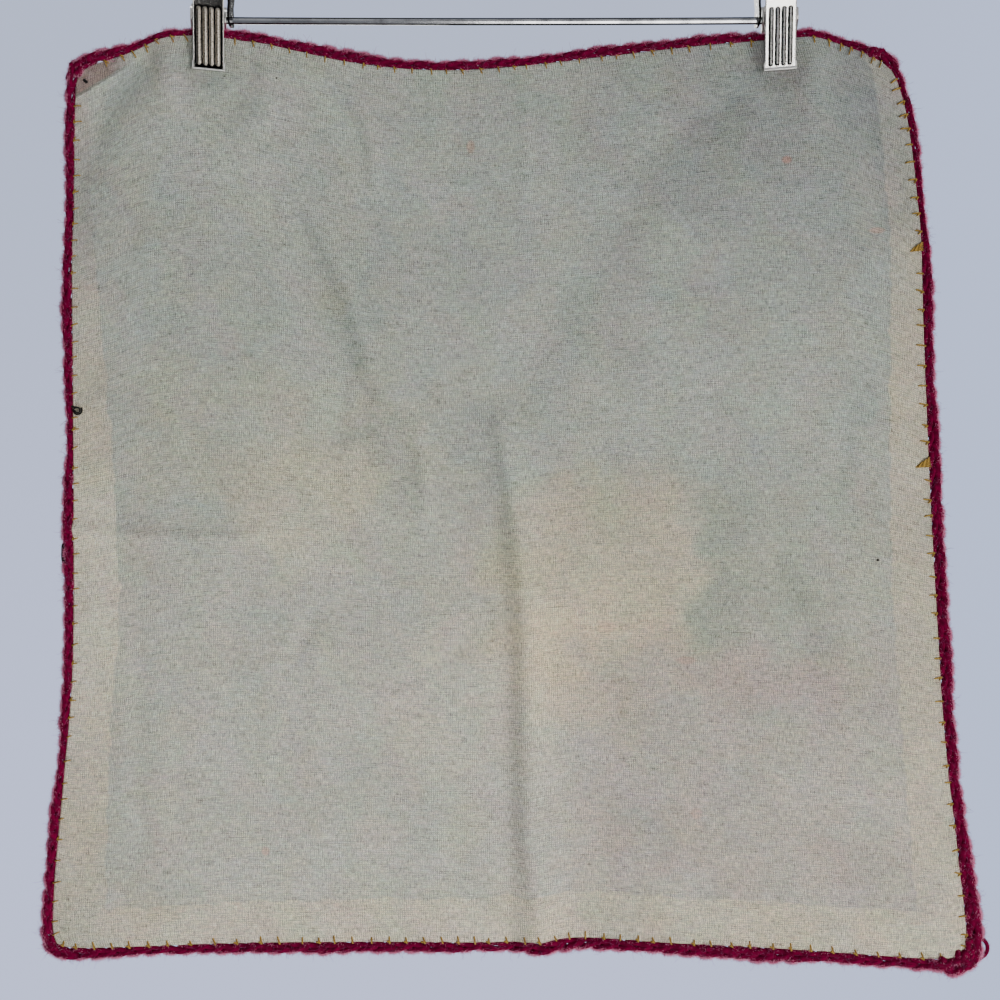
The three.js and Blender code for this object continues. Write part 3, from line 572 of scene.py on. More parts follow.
def cotton_finish(name, reverse_side):
    """Plain weave with slubs. The reverse side has its paler hem, what shows through, and painted
    shade at the hem's top and inner edge, the folded corner, round the clips and at the top right.
    """
    cotton = Finish(name, Roughness=0.95, Specular_IOR_Level=0.0)
    x, _, z = cotton.spread(cotton.own_place())
    drop = -1 * z - BAR_DROP
    seen = cotton.join(x, drop)
    u, v, _ = cotton.spread(cotton.add("ShaderNodeUVMap", uv_map="flat_cloth").outputs[0])
    u, v = u * FLAT_SIZE, v * FLAT_SIZE
    if reverse_side:
        within = Term(cotton, cotton.attribute("inside_hem", "Fac"))
        body = cotton.attribute("body_tint", "Color")
        # small marks, and the clips' painted shadows
        for at_x, at_drop, half_x, half_drop, shade, strength in SPECKS_AND_CLIP_SHADOWS:
            local = cotton.vector("MULTIPLY_ADD", seen, (1 / half_x, 1 / half_drop, 0.0),
                                  (-at_x / half_x, -at_drop / half_drop, 0.0))
            reach = cotton.vector("LENGTH", local, result=1)
            share = cotton.step(reach, 0.6, 1.3, strength, 0.0)
            body = cotton.mix(share, body, shade)
        colour = cotton.mix(
            cotton.step(within, -0.6, 1.0), cotton.attribute("hem_tint", "Color"), body)
        # painted shade: a thin darker line along the hem's inner edge
        hem_edge_shade = cotton.step(cotton.math("ABSOLUTE", within - 1.0), 1.1, 0.2, 0.0, 0.1)
        colour = cotton.mix(hem_edge_shade, colour, tint(150, 148, 140))
        # past its crease the folded-over corner is painted a darker pinkish tone as shade, and the
        # crease itself as a dark line of painted shade
        beyond = past_crease(x, drop)
        near_corner = cotton.step(x, -176, -192)
        corner_flap_shade = cotton.step(beyond, -0.2, 0.6) * near_corner
        crease = cotton.step(cotton.math("ABSOLUTE", beyond + 0.2), 0.9, 0.15, 0.0, 0.6)
        colour = cotton.mix(corner_flap_shade * 0.9, colour, tint(148, 128, 122))
        colour = cotton.mix(crease * near_corner, colour, tint(96, 88, 82))
    else:
        colour = cotton.add("ShaderNodeRGB").outputs[0]
        colour.default_value = CREAM

    def uneven(across, down, roughness=0.5, layer=0.0):
        """Streaks this long across and down the cloth, in mm."""
        return cotton.noise(cotton.join(u / across, v / down, layer), 1.0, 1.0, roughness) - 0.5

    # weft threads run level, warp threads upright, both uneven, with a thicker slub here and there
    weft, warp = uneven(5, 0.6, 0.7), uneven(0.55, 4, 0.7)
    streak, grain, clouds = uneven(16, 0.9, layer=5.0), uneven(0.42, 0.45), uneven(24, 5)
    slub = uneven(12, 0.8, layer=7.0)
    over = cotton.math("SINE", u * (2 * math.pi / THREAD_PITCH) + warp * 3)
    under = cotton.math("SINE", v * (2 * math.pi / THREAD_PITCH) + weft * 3)
    threads = over * 0.7 + under * 0.5 + over * under
    depth = weft * 0.8 + warp * 0.8 + grain * 1.1 + threads * 0.22
    tone = weft + warp * 1.5 + grain * 2.5 + threads * 0.22 + streak * 0.2
    tone = cotton.math("MAXIMUM", tone + 1.0 - cotton.step(slub, 0.04, 0.24) * 0.2, 0.25)
    tone = tone + clouds * 0.2
    # the selvedge along the top is ribbed by doubled warp threads
    selvedge = cotton.step(v, FLAT_SIZE - 13, FLAT_SIZE - 9)
    ribs = cotton.math("SINE", u * (2 * math.pi / 1.35) + weft * 5)
    depth = depth + selvedge * ribs * 0.25
    tone = tone + selvedge * ribs * 0.15
    # faint stains in every tint, drawn out along the weft
    tinge = cotton.noise(cotton.join(u * 0.22, v * 0.7), 1.0, 1.0, 0.6, coloured=True)
    tinge = cotton.vector("MULTIPLY_ADD", tinge, (0.2, 0.13, 0.22), (0.9, 0.935, 0.89))
    colour = cotton.scaled(cotton.vector("MULTIPLY", colour, tinge), tone)
    cotton.set(Base_Color=colour, Normal=cotton.bump(depth, 0.0003, 0.45))
    return cotton.material


cloth = placed("backing_cloth_sheet", cloth_mesh())
cloth.data.materials.append(cotton_finish("cotton_reverse", True))
cloth.data.materials.append(cotton_finish("cotton_far_side", False))
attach(cloth, "root")
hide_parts("backing_cloth")


# Crochet edging
# Fuzzy raspberry wool, worked as a chain round the whole cloth. Each stitch is a loop of yarn
# drawn through the last one, and the end is fastened off in a lump at the right foot corner.
YARN = 2.9  # mm thick where it is wound
SLIMMEST, YARN_SHARE = 1.95, 0.47  # the thinnest yarn in mm, and its share of the chain's width
STITCH = 8.6  # mm from one stitch to the next
EDGE_GAP = -0.6  # the chain lies this much over the cloth's edge
TWISTS_A_LOOP = 7
# Width of the chain, mm, by x along the top and foot and by drop along the sides
WIDTHS = {
    "top": [
        (-205, 6.2), (-190, 6), (-178, 4.2), (-168, 3.3), (-157, 3.4), (-143, 3), (-126, 5.4),
        (-115, 4.4), (-100, 5), (-80, 6.2), (-60, 5.2), (-40, 4.4), (-20, 5), (0, 5.4), (15, 4.4),
        (35, 4.2), (48, 5.4), (65, 6), (85, 4.6), (105, 5.4), (125, 4.8), (143, 3), (155, 4.5),
        (166, 2.4), (175, 4.2), (182, 3.6), (190, 5.8)],
    "right": [
        (30, 4.4), (38, 3), (48, 4), (60, 4.2), (80, 3.2), (105, 3.6), (115, 4.4), (127, 5.6),
        (150, 5.2), (180, 5), (200, 6), (230, 6), (280, 6.2), (315, 6.4), (345, 5.7), (375, 5.9),
        (400, 6.1), (415, 7.2), (430, 8), (455, 8.4)],
    "foot": [
        (-215, 6.2), (-195, 5.6), (-180, 4.6), (-150, 4.7), (-130, 5.5), (-110, 5.6), (-85, 6),
        (-60, 5.4), (-30, 5.6), (-5, 4.4), (15, 5.4), (30, 6.6), (55, 6.2), (80, 5.5), (100, 6.4),
        (130, 7.2), (148, 7), (160, 5.2), (180, 5.6), (205, 5.5), (222, 7.4), (232, 8.8)],
    "left": [
        (25, 5.5), (60, 5.1), (90, 4.3), (120, 4.3), (140, 5.6), (165, 4.8), (190, 4.2),
        (205, 3.3), (215, 3.2), (228, 5.2), (245, 5.6), (262, 5.4), (300, 4.8), (340, 4.9),
        (378, 3.9), (395, 5.6), (420, 5), (455, 5.6)],
}
SIDE_AXIS = {"top": 0, "right": 1, "foot": 0, "left": 1}
dice = np.random.default_rng(7)


def frames_along(side, shares, out=0.0):
    """On one side: places in metres, and the directions along, outwards and to the viewer."""
    step = 0.5 / side.length
    ends = [side.at(np.clip(shares + hand * step, 0, 1)) for hand in (-1, 1)]
    run = ends[1] - ends[0]
    run /= np.linalg.norm(run, axis=1, keepdims=True)
    outward = np.stack([run[:, 1], -run[:, 0]], axis=1)
    place = side.at(shares)
    depths = [cloth_depth(end[:, 0], end[:, 1]) for end in ends]
    climb = (depths[1] - depths[0]) / np.linalg.norm(ends[1] - ends[0], axis=1)
    along = np.stack([run[:, 0], climb, -run[:, 1]], axis=1)
    along /= np.linalg.norm(along, axis=1, keepdims=True)
    out_dir = np.stack([outward[:, 0], 0 * climb, -outward[:, 1]], axis=1)
    facing = np.cross(out_dir, along)
    facing *= -np.sign(facing[:, 1:2])
    facing /= np.linalg.norm(facing, axis=1, keepdims=True)
    x, drop = place[:, 0], place[:, 1]
    on_cloth = np.stack([x, cloth_depth(x, drop), -BAR_DROP - drop], axis=-1) * MM
    centre = on_cloth + out_dir * np.reshape(out, (-1, 1)) * MM
    return centre, along, out_dir, facing


def turn_of(along, out_dir, facing, roll, lean):
    """Euler angles that lay X along, Y outwards and Z towards the viewer, then roll and lean."""
    basis = Matrix((along, out_dir, facing)).transposed()
    basis = basis @ Matrix.Rotation(lean, 3, "Z") @ Matrix.Rotation(roll, 3, "X")
    return tuple(basis.to_euler())


def guide_points(name, rows):
    """Loose points that carry a turn, a size and more, for a pattern to be set out on."""
    mesh = bpy.data.meshes.new(name)
    mesh.from_pydata([row[0] for row in rows], [], [])
    for index, label in enumerate(("turn", "size", "girth", "outward")[:len(rows[0]) - 1], 1):
        carried = mesh.attributes.new(label, "FLOAT_VECTOR", "POINT")
        carried.data.foreach_set("vector", np.array([row[index] for row in rows], float).ravel())
    return placed(name, mesh)


class Pattern(Wiring):
    """A geometry tree with named sizes. It ends with its instances realised and a material set."""

    def __init__(self, name, sizes):
        tree = bpy.data.node_groups.new(name, "GeometryNodeTree")
        super().__init__(tree)
        tree.interface.new_socket("Geometry", in_out="INPUT", socket_type="NodeSocketGeometry")
        for label, value in sizes.items():
            kind = "NodeSocketInt" if isinstance(value, int) else "NodeSocketFloat"
            tree.interface.new_socket(label, in_out="INPUT", socket_type=kind)
        tree.interface.new_socket("Geometry", in_out="OUTPUT", socket_type="NodeSocketGeometry")
        self.sizes = sizes
        self.given = self.add("NodeGroupInput").outputs

    def size(self, label):
        return Term(self, self.given[label])

    def named(self, label):
        return self.add(
            "GeometryNodeInputNamedAttribute", {"Name": label}, data_type="FLOAT_VECTOR"
        ).outputs[0]

    def kept(self, label):
        """A number that was stored on the points."""
        return Term(self, self.add("GeometryNodeInputNamedAttribute", {"Name": label}).outputs[0])

    def along(self):
        """The share of its curve's length at which a point stands."""
        return Term(self, self.add("GeometryNodeSplineParameter").outputs["Factor"])

    def instances(self, points, shape, turn, size):
        return self.add("GeometryNodeInstanceOnPoints", {
            "Points": points, "Instance": shape, "Rotation": turn, "Scale": size,
        }).outputs[0]

    def real(self, instances):
        return self.add("GeometryNodeRealizeInstances", {0: instances}).outputs[0]

    def set_out(self, shape):
        """The shape at every guide point, turned and sized as the point says."""
        return self.real(self.instances(
            self.given["Geometry"], shape, self.named("turn"), self.named("size")))

    def chance(self, low, high, seed=0):
        """A random number for each point, or three of them."""
        three = isinstance(low, tuple)
        first = 0 if three else 2
        node = self.add("FunctionNodeRandomValue", {first: low, first + 1: high, "Seed": seed},
                        data_type="FLOAT_VECTOR" if three else "FLOAT")
        return node.outputs[0] if three else Term(self, node.outputs[1])

    def scattered(self, density, seed=0):
        """Points at random over the given surface, and turns that lean at random off it."""
        points = self.add("GeometryNodeDistributePointsOnFaces", {
            "Mesh": self.given["Geometry"], "Density": density, "Seed": self.size("Seed"),
        }, distribute_method="RANDOM").outputs
        swing = self.chance((-0.9, -0.9, -3.0), (0.9, 0.9, 3.0), seed)
        turned = self.add("FunctionNodeRotateEuler", {
            0: points["Rotation"], "Rotate By": swing}, rotation_type="EULER", space="LOCAL")
        return points["Points"], turned.outputs[0]

    def moved(self, geometry, **where):
        """Points at a new Position, or moved by an Offset."""
        return self.add("GeometryNodeSetPosition", {"Geometry": geometry, **where}).outputs[0]

    def thickened(self, curves, radius):
        return self.add(
            "GeometryNodeSetCurveRadius", {"Curve": curves, "Radius": radius}).outputs[0]

    def keep(self, geometry, label, value, kind="FLOAT"):
        """Stores a value on the points, for the material to read."""
        node = self.add("GeometryNodeStoreNamedAttribute", data_type=kind, domain="POINT")
        self.feed(node.inputs["Geometry"], geometry)
        node.inputs["Name"].default_value = label
        self.feed(node.inputs["Value"], value)
        return node.outputs[0]

    def yarn(self, paths, radius, facets, run):
        """A round yarn along curves, carrying what its twist needs."""
        paths = self.keep(paths, "ply_run", run)
        ring = self.add(
            "GeometryNodeCurvePrimitiveCircle", {"Resolution": facets, "Radius": radius})
        angle = self.along() * (2 * math.pi)
        about = self.join(self.math("COSINE", angle), self.math("SINE", angle))
        ring = self.keep(ring.outputs[0], "ply_turn", about, "FLOAT_VECTOR")
        return self.add("GeometryNodeCurveToMesh", {
            "Curve": paths, "Profile Curve": ring, "Fill Caps": True,
            "Scale": self.add("GeometryNodeInputRadius").outputs[0],
        }).outputs[0]

    def closed(self, geometry, finish):
        smooth = self.add("GeometryNodeSetShadeSmooth", {"Geometry": geometry}).outputs[0]
        node = self.add("GeometryNodeSetMaterial", {"Geometry": self.real(smooth)})
        node.inputs["Material"].default_value = finish
        self.add("NodeGroupOutput", {0: node.outputs[0]})
        return self

    def grown(self, guide, name):
        """The pattern on its guide, as a plain mesh of its own."""
        modifier = guide.modifiers.new("pattern", "NODES")
        modifier.node_group = self.tree
        for item in self.tree.interface.items_tree:
            if item.in_out == "INPUT" and item.name in self.sizes:
                modifier[item.identifier] = self.sizes[item.name]
        bpy.context.view_layer.update()
        evaluated = guide.evaluated_get(bpy.context.evaluated_depsgraph_get())
        mesh = bpy.data.meshes.new_from_object(evaluated)
        guide.modifiers.remove(modifier)
        bpy.data.objects.remove(guide)
        return placed(name, mesh)

    def grown_over(self, piece, name):
        """The pattern spread over another piece's surface."""
        return self.grown(placed(f"{name}_guide", piece.data.copy()), name)


def wool_finish(name, deep, light):
    """Two-ply wool: the plies wind round the yarn, with painted shade between them."""
    wool = Finish(name, Roughness=0.95, Specular_IOR_Level=0.1, Sheen_Weight=0.1,
                  Sheen_Roughness=0.5, Sheen_Tint=light)
    place, plies = wool.own_place(), wool.plies()
    hairs, patchy = wool.noise(place, 3.2, 3.0, 0.7), wool.noise(place, 0.35)
    # painted shade: darker between the plies, with uneven colour
    share = wool.step(plies * 0.12 + hairs * 0.4 + patchy * 0.9, 0.25, 1.05)
    colour = wool.mix(share, deep, light)
    wool.set(Base_Color=colour, Normal=wool.bump(plies * 0.3 + hairs * 0.35, 0.0003, 0.6))
    return wool.material


raspberry = wool_finish("raspberry_wool", tint(84, 0, 38), tint(140, 0, 64))


def chain_stitches():
    rows = []

    def add(centre, basis, pitch, width, roll, lean, lift):
        # thick yarn leaves only a slit down the middle of the chain
        girth = max(SLIMMEST, YARN_SHARE * width)
        size = (pitch * MM, max(0.7, width - girth) * 0.97 * MM, lift * MM)
        rows.append((tuple(centre), turn_of(*basis, roll, lean), size, (girth, 0, 0), basis[1]))

    for name, side in sides.items():
        count = round(side.length / STITCH)
        shares = (np.arange(count) + 0.5) / count
        place = side.at(shares)[:, SIDE_AXIS[name]]
        width = band(sorted(WIDTHS[name]), place) * dice.uniform(0.95, 1.08, count) + 0.4
        in_clip = (1 - blended(abs(abs(side.at(shares)[:, 0]) - CLIP_X), 11, 20)) * (name == "top")
        centre, *basis = frames_along(
            side, shares, EDGE_GAP + width / 2 + dice.uniform(-0.2, 0.2, count))
        rolls = np.radians(dice.normal(0, 13, count)) * (1 - in_clip)
        leans = np.radians(dice.normal(0, 4, count))
        for i in range(count):
            add(centre[i], [axis[i] for axis in basis], side.length / count, width[i], rolls[i],
                leans[i], 1.9 - 0.7 * in_clip[i])
    # one more stitch turns round each corner but the top right one, where the cloth shows
    for before, after, width in (
        ("right", "foot", 7.6), ("foot", "left", 6.4), ("left", "top", 6.2),
    ):
        arriving = frames_along(sides[before], np.array([1.0]), width / 2)
        leaving = frames_along(sides[after], np.array([0.0]), width / 2)
        centre, along, out_dir, facing = [(a[0] + b[0]) / 2 for a, b in zip(arriving, leaving)]
        along, out_dir, facing = (axis / np.linalg.norm(axis) for axis in (along, out_dir, facing))
        add(centre, (along, out_dir, facing), STITCH * 0.8, width, 0.0, 0.0, 1.6)
    return rows


def chain_pattern():
    """Each stitch: a drop-shaped loop, its narrow neck inside the loop before it."""
    chain = Pattern("crochet_chain", {
        "Yarn Thickness": MM, "Neck": 0.36, "Reach": 1.14, "Loop Steps": 20, "Yarn Facets": 6,
    })
    loop = chain.add("GeometryNodeCurvePrimitiveCircle", {"Resolution": chain.size("Loop Steps")})
    share = chain.along()
    angle = share * (2 * math.pi)
    swing = chain.math("SINE", angle)
    run = (1 - chain.math("COSINE", angle)) * 0.5
    x = run * (chain.size("Neck") + chain.size("Reach")) - chain.size("Neck") - 0.5
    y = swing * run**1.15 * 0.83
    z = chain.math("SINE", run**0.6 * math.pi) * 0.42 - run**3 * 0.5 + swing * (1 - run) * 0.22
    shaped = chain.moved(loop.outputs[0], Position=chain.join(x, y, z))
    shaped = chain.keep(chain.keep(shaped, "share", share), "aside", y)
    whole = chain.set_out(shaped)
    uneven = chain.add("ShaderNodeTexNoise", {"Scale": 260.0, "Detail": 1.0}).outputs[0]
    girth = chain.spread(chain.named("girth"))[0]
    whole = chain.thickened(whole, (Term(chain, uneven) * 0.5 + 0.75) * girth)
    mesh = chain.yarn(whole, chain.size("Yarn Thickness") * 0.5, chain.size("Yarn Facets"),
                      chain.kept("share") * TWISTS_A_LOOP)
    return chain.closed(mesh, raspberry)


edging = chain_pattern().grown(guide_points("chain_guide", chain_stitches()), "crochet_chain")


def thread_tube(name, path, radius, facets, finish, turns_per_mm=0.16, closed_path=False):
    """A yarn or thread swept along one path of its own, its ends rounded off."""
    path = np.array(path, float)
    count = len(path)
    ahead = np.roll(path, -1, 0) - np.roll(path, 1, 0)
    if not closed_path:
        ahead[0], ahead[-1] = path[1] - path[0], path[-1] - path[-2]
    ahead /= np.linalg.norm(ahead, axis=1, keepdims=True)
    side = np.cross(ahead[0], (0.31, 0.52, 0.79))
    sides_of = []
    for direction in ahead:
        side = side - direction * (side @ direction)
        side = side / np.linalg.norm(side)
        sides_of.append(side)
    first = np.array(sides_of)
    second = np.cross(ahead, first)
    radii = np.full(count, radius) if np.isscalar(radius) else np.array(radius, float)
    angles = 2 * math.pi * np.arange(facets) / facets
    ring = first[:, None] * np.cos(angles)[:, None] + second[:, None] * np.sin(angles)[:, None]
    points = (path[:, None] + ring * radii[:, None, None]).reshape(-1, 3)
    loops = count if closed_path else count - 1
    faces = [
        (i * facets + k, i * facets + (k + 1) % facets,
         (i + 1) % count * facets + (k + 1) % facets, (i + 1) % count * facets + k)
        for i in range(loops) for k in range(facets)
    ]
    if not closed_path:
        tips = [path[0] - ahead[0] * radii[0] * 0.6, path[-1] + ahead[-1] * radii[-1] * 0.6]
        last = (count - 1) * facets
        faces += [(len(points), (k + 1) % facets, k) for k in range(facets)]
        faces += [(len(points) + 1, last + k, last + (k + 1) % facets) for k in range(facets)]
        points = np.vstack([points, tips])
    mesh = bpy.data.meshes.new(name)
    mesh.from_pydata((points * MM).tolist(), [], faces)
    mesh.polygons.foreach_set("use_smooth", [True] * len(faces))
    steps = np.concatenate([[0], np.cumsum(np.linalg.norm(np.diff(path, axis=0), axis=1))])
    run = mesh.attributes.new("ply_run", "FLOAT", "POINT")
    about = mesh.attributes.new("ply_turn", "FLOAT_VECTOR", "POINT")
    runs = np.repeat(steps * turns_per_mm, facets)
    turns = np.tile(np.stack([np.cos(angles), np.sin(angles), 0 * angles], 1), (count, 1))
    spare = len(points) - count * facets
    run.data.foreach_set("value", np.concatenate([runs, np.zeros(spare)]))
    about.data.foreach_set("vector", np.vstack([turns, np.zeros((spare, 3))]).ravel())
    mesh.materials.append(finish)
    mesh.update()
    return placed(name, mesh)


def smooth_path(places, steps=8, closed_path=False):
    """A rounded path through a few places."""
    places = np.array(places, float)
    if closed_path:
        knots = np.vstack([places[-1:], places, places[:2]])
    else:
        knots = np.vstack([2 * places[0] - places[1], places, 2 * places[-1] - places[-2]])
    t = np.linspace(0, 1, steps, endpoint=False)[:, None]
    runs = [
        0.5 * (2 * b + (c - a) * t + (2 * a - 5 * b + 4 * c - d) * t**2
               + (3 * b - a - 3 * c + d) * t**3)
        for a, b, c, d in zip(knots, knots[1:], knots[2:], knots[3:])
    ]
    return np.vstack(runs if closed_path else [*runs, places[-1:]])


def in_front(x, drop, proud=0.0):
    """One place in mm on the cloth, or beside its edge, proud of it towards the viewer."""
    depth = float(cloth_depth(np.array(x, float), np.array(drop, float)))
    return (x, depth - proud, -BAR_DROP - drop)


def joined(name, pieces):
    """Several meshes as one piece."""
    with bpy.context.temp_override(
        active_object=pieces[0], selected_editable_objects=pieces, selected_objects=pieces
    ):
        bpy.ops.object.join()
    pieces[0].name = pieces[0].data.name = name
    return pieces[0]


def tangle(corner, across, down, reach, turns, steps=70):
    """Yarn wound over and over itself, some mm across and down from a corner of the cloth."""
    t = np.linspace(0, 2 * math.pi, steps, endpoint=False)
    x, drop = sides[corner].line[0] + (across, down)
    depth = in_front(x, drop)[1]
    return np.stack([
        x + reach[0] * np.sin(turns[0] * t + 0.4), depth + reach[2] * np.sin(turns[1] * t + 1.1),
        -BAR_DROP - drop + reach[1] * np.cos(turns[2] * t),
    ], axis=1)


def wound(name, *settings):
    return thread_tube(name, tangle(*settings), YARN / 2, 7, raspberry, closed_path=True)


lump = joined("fastened_off_end", [
    wound("lump_winding", "foot", 3.2, -3.0, (1.6, 4.6, 1.6), (3, 5, 2)),
    wound("lump_foot", "foot", -4.5, 3.6, (7, 2.2, 1.6), (2, 5, 3)),
    wound("lump_corner", "foot", 1.8, 2.0, (3.4, 3.4, 1.9), (3, 4, 2)),
    wound("lump_heart", "foot", -0.5, 1.0, (3.0, 3.0, 1.2), (2, 3, 5)),
    thread_tube("lump_loop", smooth_path([
        in_front(x, drop, 1.0) for x, drop in from_seen([
            (240, 457.4), (243.6, 458.8), (245.7, 461.2), (246.1, 464), (244.9, 466.6),
            (242, 468.6), (238.4, 470.2),
        ])
    ]), 1.0, 7, raspberry),
    wound("corner_winding_left", "top", -1.4, -1.6, (1.8, 2.0, 1.2), (2, 5, 3)),
    wound("corner_winding_right", "right", -7.2, -9.2, (3.2, 1.2, 1.2), (3, 5, 2)),
])


# Wool fuzz
# Loose fibres that stand out of the edging's yarn: along its rims a dense pale nap about two
# millimetres long, and all round it sparser hairs of up to five.
NAP, NAP_LENGTH, LUMP_NAP_LENGTH = 0.17 * MM, 2.2 * MM, 2.0 * MM
HAIR, HAIR_LENGTH, HAIR_STEPS = 0.16 * MM, 5.0 * MM, 5
NAP_DENSITY, HAIR_DENSITY, LUMP_DENSITY = 22e6, 140e3, 9e6  # fibres on a square metre


def hair_pattern():
    """Long fibres that lean out of the yarn on every side, bent more towards their tips."""
    fuzz = Pattern("wool_hairs", {"Density": HAIR_DENSITY, "Fibre Thickness": HAIR, "Seed": 4})
    points, turned = fuzz.scattered(fuzz.size("Density"), 5)
    fibre = fuzz.add("GeometryNodeCurvePrimitiveLine", {"End": (0.0, 0.0, 1.0)}).outputs[0]
    fibre = fuzz.add("GeometryNodeResampleCurve", {"Curve": fibre, "Count": HAIR_STEPS}).outputs[0]
    length = fuzz.chance(0.4, 1.0, 6) ** 1.6 * HAIR_LENGTH
    whole = fuzz.real(fuzz.instances(points, fibre, turned, fuzz.join(length, length, length)))
    share = fuzz.along()
    drift = fuzz.add("ShaderNodeTexNoise", {"Scale": 420.0, "Detail": 1.0}).outputs[1]
    drift = fuzz.vector("SUBTRACT", drift, (0.5, 0.5, 0.5))
    whole = fuzz.moved(whole, Offset=fuzz.scaled(drift, share * share * HAIR_LENGTH * 1.3))
    whole = fuzz.thickened(whole, 1 - share * 0.6)
    return fuzz.closed(fuzz.yarn(whole, fuzz.size("Fibre Thickness") * 0.5, 3, share), deep_fibre)


def nap_pattern(name, density, longest, seed, chained=True):
    """Short straight fibres, each a three-sided spike, thickest along the edging's two rims."""
    nap = Pattern(name, {"Density": density, "Thickness": NAP, "Longest": longest, "Seed": seed})
    normal = nap.add("GeometryNodeInputNormal").outputs[0]
    if chained:
        aside = nap.kept("aside")
        outwards = Term(nap, nap.vector("DOT_PRODUCT", normal, nap.named("outward"), result=1))
        outwards = nap.math("MAXIMUM", outwards * nap.math("SIGN", aside), 0.0)
        on_rim = outwards ** 3.0 * (nap.step(aside, 0.12, 0.4) + nap.step(aside, -0.3, -0.5) * 0.2)
    else:
        on_rim = (1 - nap.math("ABSOLUTE", nap.spread(normal)[1])) ** 6.0
    points, turned = nap.scattered(nap.size("Density") * on_rim)
    spike = nap.add("GeometryNodeMeshCone", {
        "Vertices": 3, "Radius Top": 0.0, "Radius Bottom": 1.0, "Depth": 1.0}, fill_type="NONE")
    length = nap.chance(0.35, 1.0) ** 1.5 * nap.size("Longest")
    half = nap.size("Thickness") * 0.5
    size = nap.join(half, half, length)
    return nap.closed(nap.instances(points, spike.outputs["Mesh"], turned, size), pale_fibre)


def fibre_finish(name, deep, light, sheen):
    fibre = Finish(name, Roughness=0.9, Specular_IOR_Level=0.1, Sheen_Weight=sheen,
                   Sheen_Tint=light)
    shade = fibre.noise(fibre.own_place(), 0.5)
    fibre.set(Base_Color=fibre.mix(shade, deep, light))
    return fibre.material


# painted light: the nap is much paler than the yarn, standing in for the lit halo of fine fibres
# round the edging
pale_fibre = fibre_finish("pale_fibre", tint(244, 80, 150), tint(255, 196, 226), 1.0)
deep_fibre = fibre_finish("deep_fibre", tint(116, 30, 80), tint(186, 96, 150), 0.3)
nap, second_nap = (
    nap_pattern(name, NAP_DENSITY, NAP_LENGTH, seed).grown_over(edging, name)
    for name, seed in (("wool_nap", 11), ("wool_nap_second", 12))
)
hairs = hair_pattern().grown_over(edging, "wool_hairs")
lump_nap = nap_pattern("lump_nap", LUMP_DENSITY, LUMP_NAP_LENGTH, 8, chained=False).grown_over(
    lump, "lump_nap")


# Blanket stitches
# Mustard cotton thread, sewn over the cloth's edge. Each stitch wraps the edge and goes through
# the cloth a few millimetres in, and the edging's wool is hooked into the thread between them.
THREAD = 0.8
# Where each stitch stands, by x along the top and foot, and by drop along the sides
STITCH_PLACES = {
    "left": [
        45.1, 52.8, 61.6, 70.7, 78.9, 87.2, 95.4, 103.2, 111.5, 119.6, 127.7, 135.2, 144.5, 153.4,
        161.8, 169.3, 178.2, 187.1, 199, 205, 214.4, 224.3, 231.8, 240.2, 249.7, 259.2, 266.7,
        276.1, 284.1, 292.6, 301.5, 312, 321.4, 330.4, 339.3, 348.2, 357.6, 369.4, 380.3, 388.1,
        398, 407.8, 418.2, 429.1, 438.5, 448.3, 454.8],
    "right": [
        32.5, 36.9, 43.3, 49.7, 56.5, 64.3, 72.6, 81.3, 90.1, 98.1, 107.1, 127.8, 136.7, 145.5,
        153.4, 163.3, 173.2, 183.1, 192.6, 203, 210.9, 230.3, 239.8, 247.2, 257.7, 266.1, 278.1,
        287, 296, 308.4, 318.3, 327.7, 339.5, 349.8, 359.6, 370.9, 379.2, 389.5, 400.2, 412, 423.7,
        434.5, 444.3, 453.6, 459.5],
    "foot": [
        -213.2, -206.8, -198, -189.3, -181.1, -171.4, -162.1, -150.8, -139, -128.1, -116.1, -107.2,
        -95.7, -87.2, -79.7, -70.7, -61.2, -52.2, -43.7, -34.7, -25.7, -17.7, -9.6, -2.6, 6.4, 15.9,
        23, 30.7, 37.9, 46, 55.6, 63.6, 72.6, 80.4, 88.8, 100.1, 108.5, 118.9, 127.8, 139.1, 147.9,
        157.7, 168.3, 179.4, 189.9, 200.4, 211.4, 220.2, 227.5],
    "top": [
        -192.5, -185.3, -180.1, -173.4, -168.1, -160.3, -154.2, -130.4, -121.5, -112.5, -103.7,
        -94.9, -85.7, -76.3, -66.6, -59.4, -51.2, -42.1, -32.4, -24.8, -17.1, -7.4, 1.9, 9.6, 16.2,
        26, 33.6, 43.3, 54.5, 62.1, 70.6, 79.7, 89.7, 98.1, 108.9, 118.8, 129, 158.5, 165.8, 172,
        176.8, 182, 187.2, 191],
}


def thread_finish(name, deep, light):
    thread = Finish(name, Roughness=0.7, Specular_IOR_Level=0.3, Sheen_Weight=0.15)
    plies = thread.plies()
    # painted shade: the thread darker between its plies, with uneven colour
    share = thread.step(plies * 0.3 + thread.noise(thread.own_place(), 2.4), 0.2, 0.95)
    thread.set(Base_Color=thread.mix(share, deep, light),
               Normal=thread.bump(plies, 0.00015, 0.8))
    return thread.material


mustard = thread_finish("mustard_thread", tint(122, 92, 34), tint(232, 188, 84))


